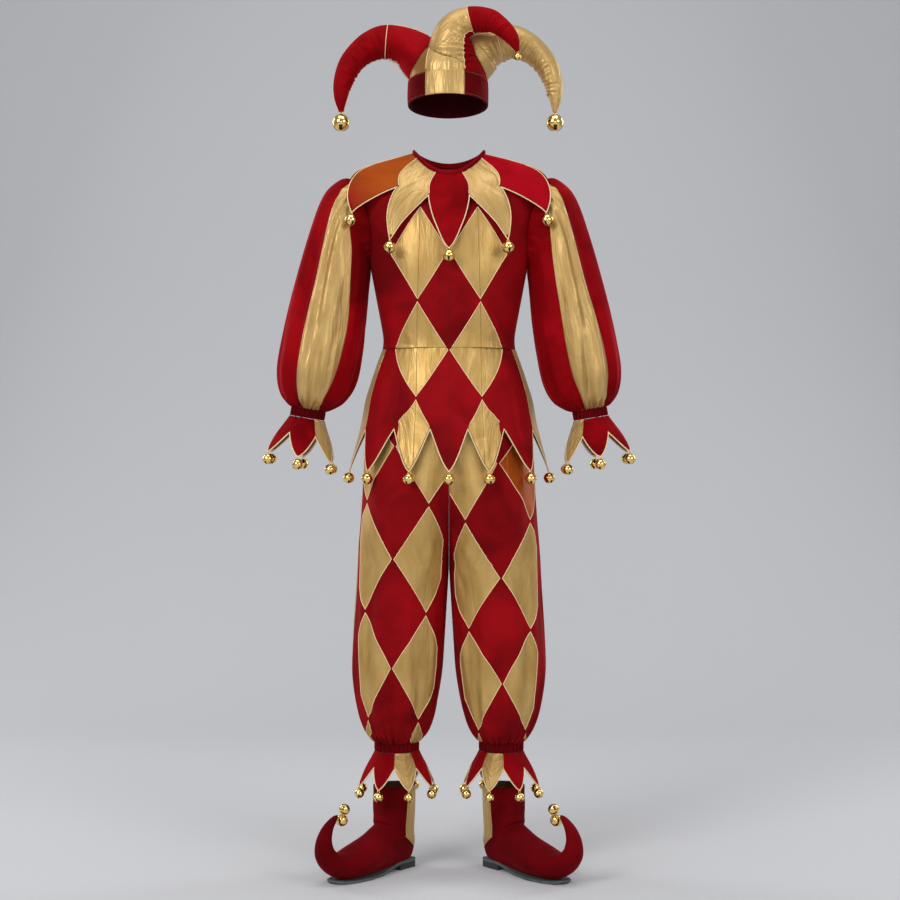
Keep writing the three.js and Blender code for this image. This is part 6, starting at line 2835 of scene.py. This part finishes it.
    def clearance(self) -> bpy.types.Object:
        """Space of the sole and heel, and all that is below them.

        Returns:
            The solid.
        """
        rings = [[(-90, -f, -60), (90, -f, -60), (90, -f, high), (-90, -f, high), (-90, -f, -60)]
                 for f, high in self.sole]
        return block("sole_room", self.send(np.array(rings, float)))

    def tread(self, shop: Workshop) -> None:
        """Sole, set back under the velvet that bulges over it.

        Args:
            shop: Where the pieces are made.
        """
        rings = [[(-half, -f, low), (half, -f, low), (half + 0.6, -f, low + 2.5),
                  (half, -f, low + 5), (-half, -f, low + 5), (-half - 0.6, -f, low + 2.5),
                  (-half, -f, low)] for f, half, low in self.treads]
        skin, flow = solid_tube(self.send(np.array(rings, float)))
        name = f"boot_{self.side.value}_sole"
        shop.build(name, skin, ("sole",), Finish.SOLE, {"Flow": flow}, weld=True,
                   smooth_faces=False)

    def patch(self, shop: Workshop, threads: Skin) -> None:
        """Gold stripe down the outer side of the shaft, stitched along both edges.

        Args:
            shop: Where the pieces are made.
            threads: Skin that takes the stitches.
        """
        down, across = grid(60, 22)
        start, end = (math.radians(a) for a in self.stripe)
        surface = raised(self.place, wrapped(self.folds), 1.4)
        local = panel(surface, blend(start, end, across), self.stripe_end * down, (), 1.2)
        cloth = Panel(self.send(local.outer), self.send(local.inner))
        name = f"boot_{self.side.value}_stripe"
        shop.cloth(name, cloth, ("satin", "lining"), Finish.SATIN, "laid",
                   [f"boot_{self.side.value}_upper"])
        row = np.linspace(1, 59, 50)
        for column in (2.0, 20.0):
            stitch_row(threads, cloth, row, np.full(len(row), column))

    def build(self, shop: Workshop, threads: Skin) -> None:
        """The boot, with finishes on its rigid sole and heel.

        Args:
            shop: Where the pieces are made.
            threads: Skin that takes the stitches.
        """
        self.upper(shop)
        self.patch(shop, threads)
        name = self.side.value
        self.tread(shop)
        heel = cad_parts[f"boot_{name}_heel"]
        for slot in heel.material_slots:
            slot.material = shop.materials["heel"]
        skin = Skin()
        ends = [np.array([x, -forward, up]) for x, forward, up, _ in self.bells]
        for k, (*_, radius) in enumerate(self.bells):
            way = unit(ends[k] - ends[1 - k])
            BELL.ball(skin, ends[k], radius, way, 0.4 + k)
        tip = np.array([0.0, -self.forward[-1], self.up[-1]])
        turn = math.radians(self.turn[-1])
        start = tip + 0.6 * np.array([0.0, -math.sin(turn), -math.cos(turn)])
        middle = (ends[0] + ends[1]) / 2
        side = np.array([[1.0, 0.0, 0.0]])
        link = middle + self.link * np.array([[math.cos(a), 0.35 * math.cos(a), math.sin(a)]
                                              for a in np.linspace(0, TURN, 12)[:-1]])
        flat = np.repeat(unit(np.array([[-0.35, 1.0, 0.0]])), len(link), 0)
        skin.add(*sweep(link, flat, self.wire, 6, True))
        skin.add(*sweep(np.stack([start, middle]), np.repeat(side, 2, 0), self.hanger, 8, False),
                 2)
        shop.build(f"boot_{name}_bells", skin.moved(self.frame, self.side.mirror), BELL_FINISHES,
                   Finish.BRASS)


# Studio


@dataclass(frozen=True)
class Lamp:
    """A soft area light, aimed at the middle of the costume."""

    name: str
    place: tuple[float, float, float]
    size: tuple[float, float]
    power: float
    colour: tuple[float, float, float] = (1.0, 1.0, 1.0)


@dataclass(frozen=True)
class Studio:
    """Camera, soft lights and a pale seamless floor and backdrop, in metres."""

    eye: tuple[float, float, float] = (0.00205, -3.9, -0.60475)
    lens: float = 76.1
    lamps: tuple[Lamp, ...] = (
        Lamp("key", (-2.6, -3.6, 1.6), (1.8, 2.4), 112.0),
        Lamp("fill", (2.9, -3.3, 0.9), (2.0, 2.4), 52.0),
        Lamp("top", (0.0, -0.6, 2.9), (3.0, 2.0), 52.0),
        Lamp("front", (0.2, -5.2, -0.4), (2.0, 1.4), 16.0),
        Lamp("rim_left", (-2.6, 1.6, 0.6), (0.8, 2.4), 30.0),
        Lamp("rim_right", (2.6, 1.6, 0.6), (0.8, 2.4), 30.0),
    )
    aim: tuple[float, float, float] = (0.0, 0.0, -0.6)
    sky: tuple[float, float, float, float] = (0.93, 0.95, 1.0, 1.0)
    ambient: float = 0.33
    tone: tuple[float, float, float] = (0.565, 0.57, 0.585)

    def camera(self) -> None:
        """The camera at the photograph's place."""
        data = bpy.data.cameras.new("camera")
        data.lens, data.sensor_width = self.lens, 36.0
        data.clip_start, data.clip_end = 0.05, 60.0
        camera = bpy.data.objects.new("camera", data)
        camera.location = self.eye
        camera.rotation_euler = (QUARTER, 0.0, 0.0)
        bpy.context.scene.collection.objects.link(camera)
        bpy.context.scene.camera = camera
        bpy.context.scene.view_settings.view_transform = "Standard"

    def lights(self) -> None:
        """Area lights and an even surround."""
        for lamp in self.lamps:
            data = bpy.data.lights.new(lamp.name, "AREA")
            data.shape, data.size, data.size_y = "RECTANGLE", *lamp.size
            data.energy, data.color = lamp.power, lamp.colour
            light = bpy.data.objects.new(lamp.name, data)
            light.location = lamp.place
            aim = Vector(self.aim) - Vector(lamp.place)
            light.rotation_euler = aim.to_track_quat("-Z", "Y").to_euler()
            bpy.context.scene.collection.objects.link(light)
        world = bpy.data.worlds.new("studio")
        world.use_nodes = True
        surround = world.node_tree.nodes["Background"]
        surround.inputs["Color"].default_value = self.sky
        surround.inputs["Strength"].default_value = self.ambient
        bpy.context.scene.world = world

    def backdrop(self) -> None:
        """Pale floor that curves up into a wall."""
        floor, near, bend, radius, top, half = FLOOR * MM, -7.0, 1.9, 1.6, 5.0, 9.0
        profile = [(near, floor), (bend, floor)]
        profile += [(bend + radius * math.sin(a), floor + radius * (1 - math.cos(a)))
                    for a in np.linspace(0.05, QUARTER, 16)]
        profile.append((bend + radius, top))
        points = [(x, y, z) for y, z in profile for x in (-half, half)]
        faces = [(2 * k, 2 * k + 1, 2 * k + 3, 2 * k + 2) for k in range(len(profile) - 1)]
        mesh = bpy.data.meshes.new("backdrop")
        mesh.from_pydata(points, [], faces)
        mesh.polygons.foreach_set("use_smooth", [True] * len(faces))
        material = bpy.data.materials.new("backdrop")
        material.use_nodes = True
        nodes = Nodes(material.node_tree)
        shader = material.node_tree.nodes["Principled BSDF"]
        place = nodes.add("ShaderNodeTexCoord").outputs["Object"]
        tone = nodes.noise(place, 0.7, 2.0)
        darker = tuple(0.96 * t for t in self.tone)
        nodes.feed(shader.inputs["Base Color"], nodes.mix(tone, (*darker, 1.0), (*self.tone, 1.0)))
        shader.inputs["Roughness"].default_value = 0.9
        shader.inputs["Specular IOR Level"].default_value = 0.1
        mesh.materials.append(material)
        backdrop = bpy.data.objects.new("backdrop", mesh)
        bpy.context.scene.collection.objects.link(backdrop)

    def build(self) -> None:
        """The whole studio."""
        self.camera()
        self.lights()
        self.backdrop()


def main() -> None:
    """Builds the costume piece by piece on its frame, then the studio."""
    logging.basicConfig(level=logging.INFO, format="%(name)s: %(message)s")
    shop = Workshop(Finishes().all())
    cords, threads = Skin(), Skin()
    Bodice().build(shop, cords)
    Collar().build(shop, cords, threads)
    Peplum().build(shop, cords, threads)
    for side in Side:
        Sleeve(side).build(shop)
        Leg(side).build(shop, cords)
        Boot(side).build(shop, threads)
    Hat().build(shop, threads)
    shop.build("diamond_piping", cords, ("piping",), Finish.PIPING)
    shop.build("top_stitches", threads, ("thread",), Finish.PIPING)
    Studio().build()
    log.info("%d pieces made", len(shop.made))


if __name__ == "__main__":
    main()
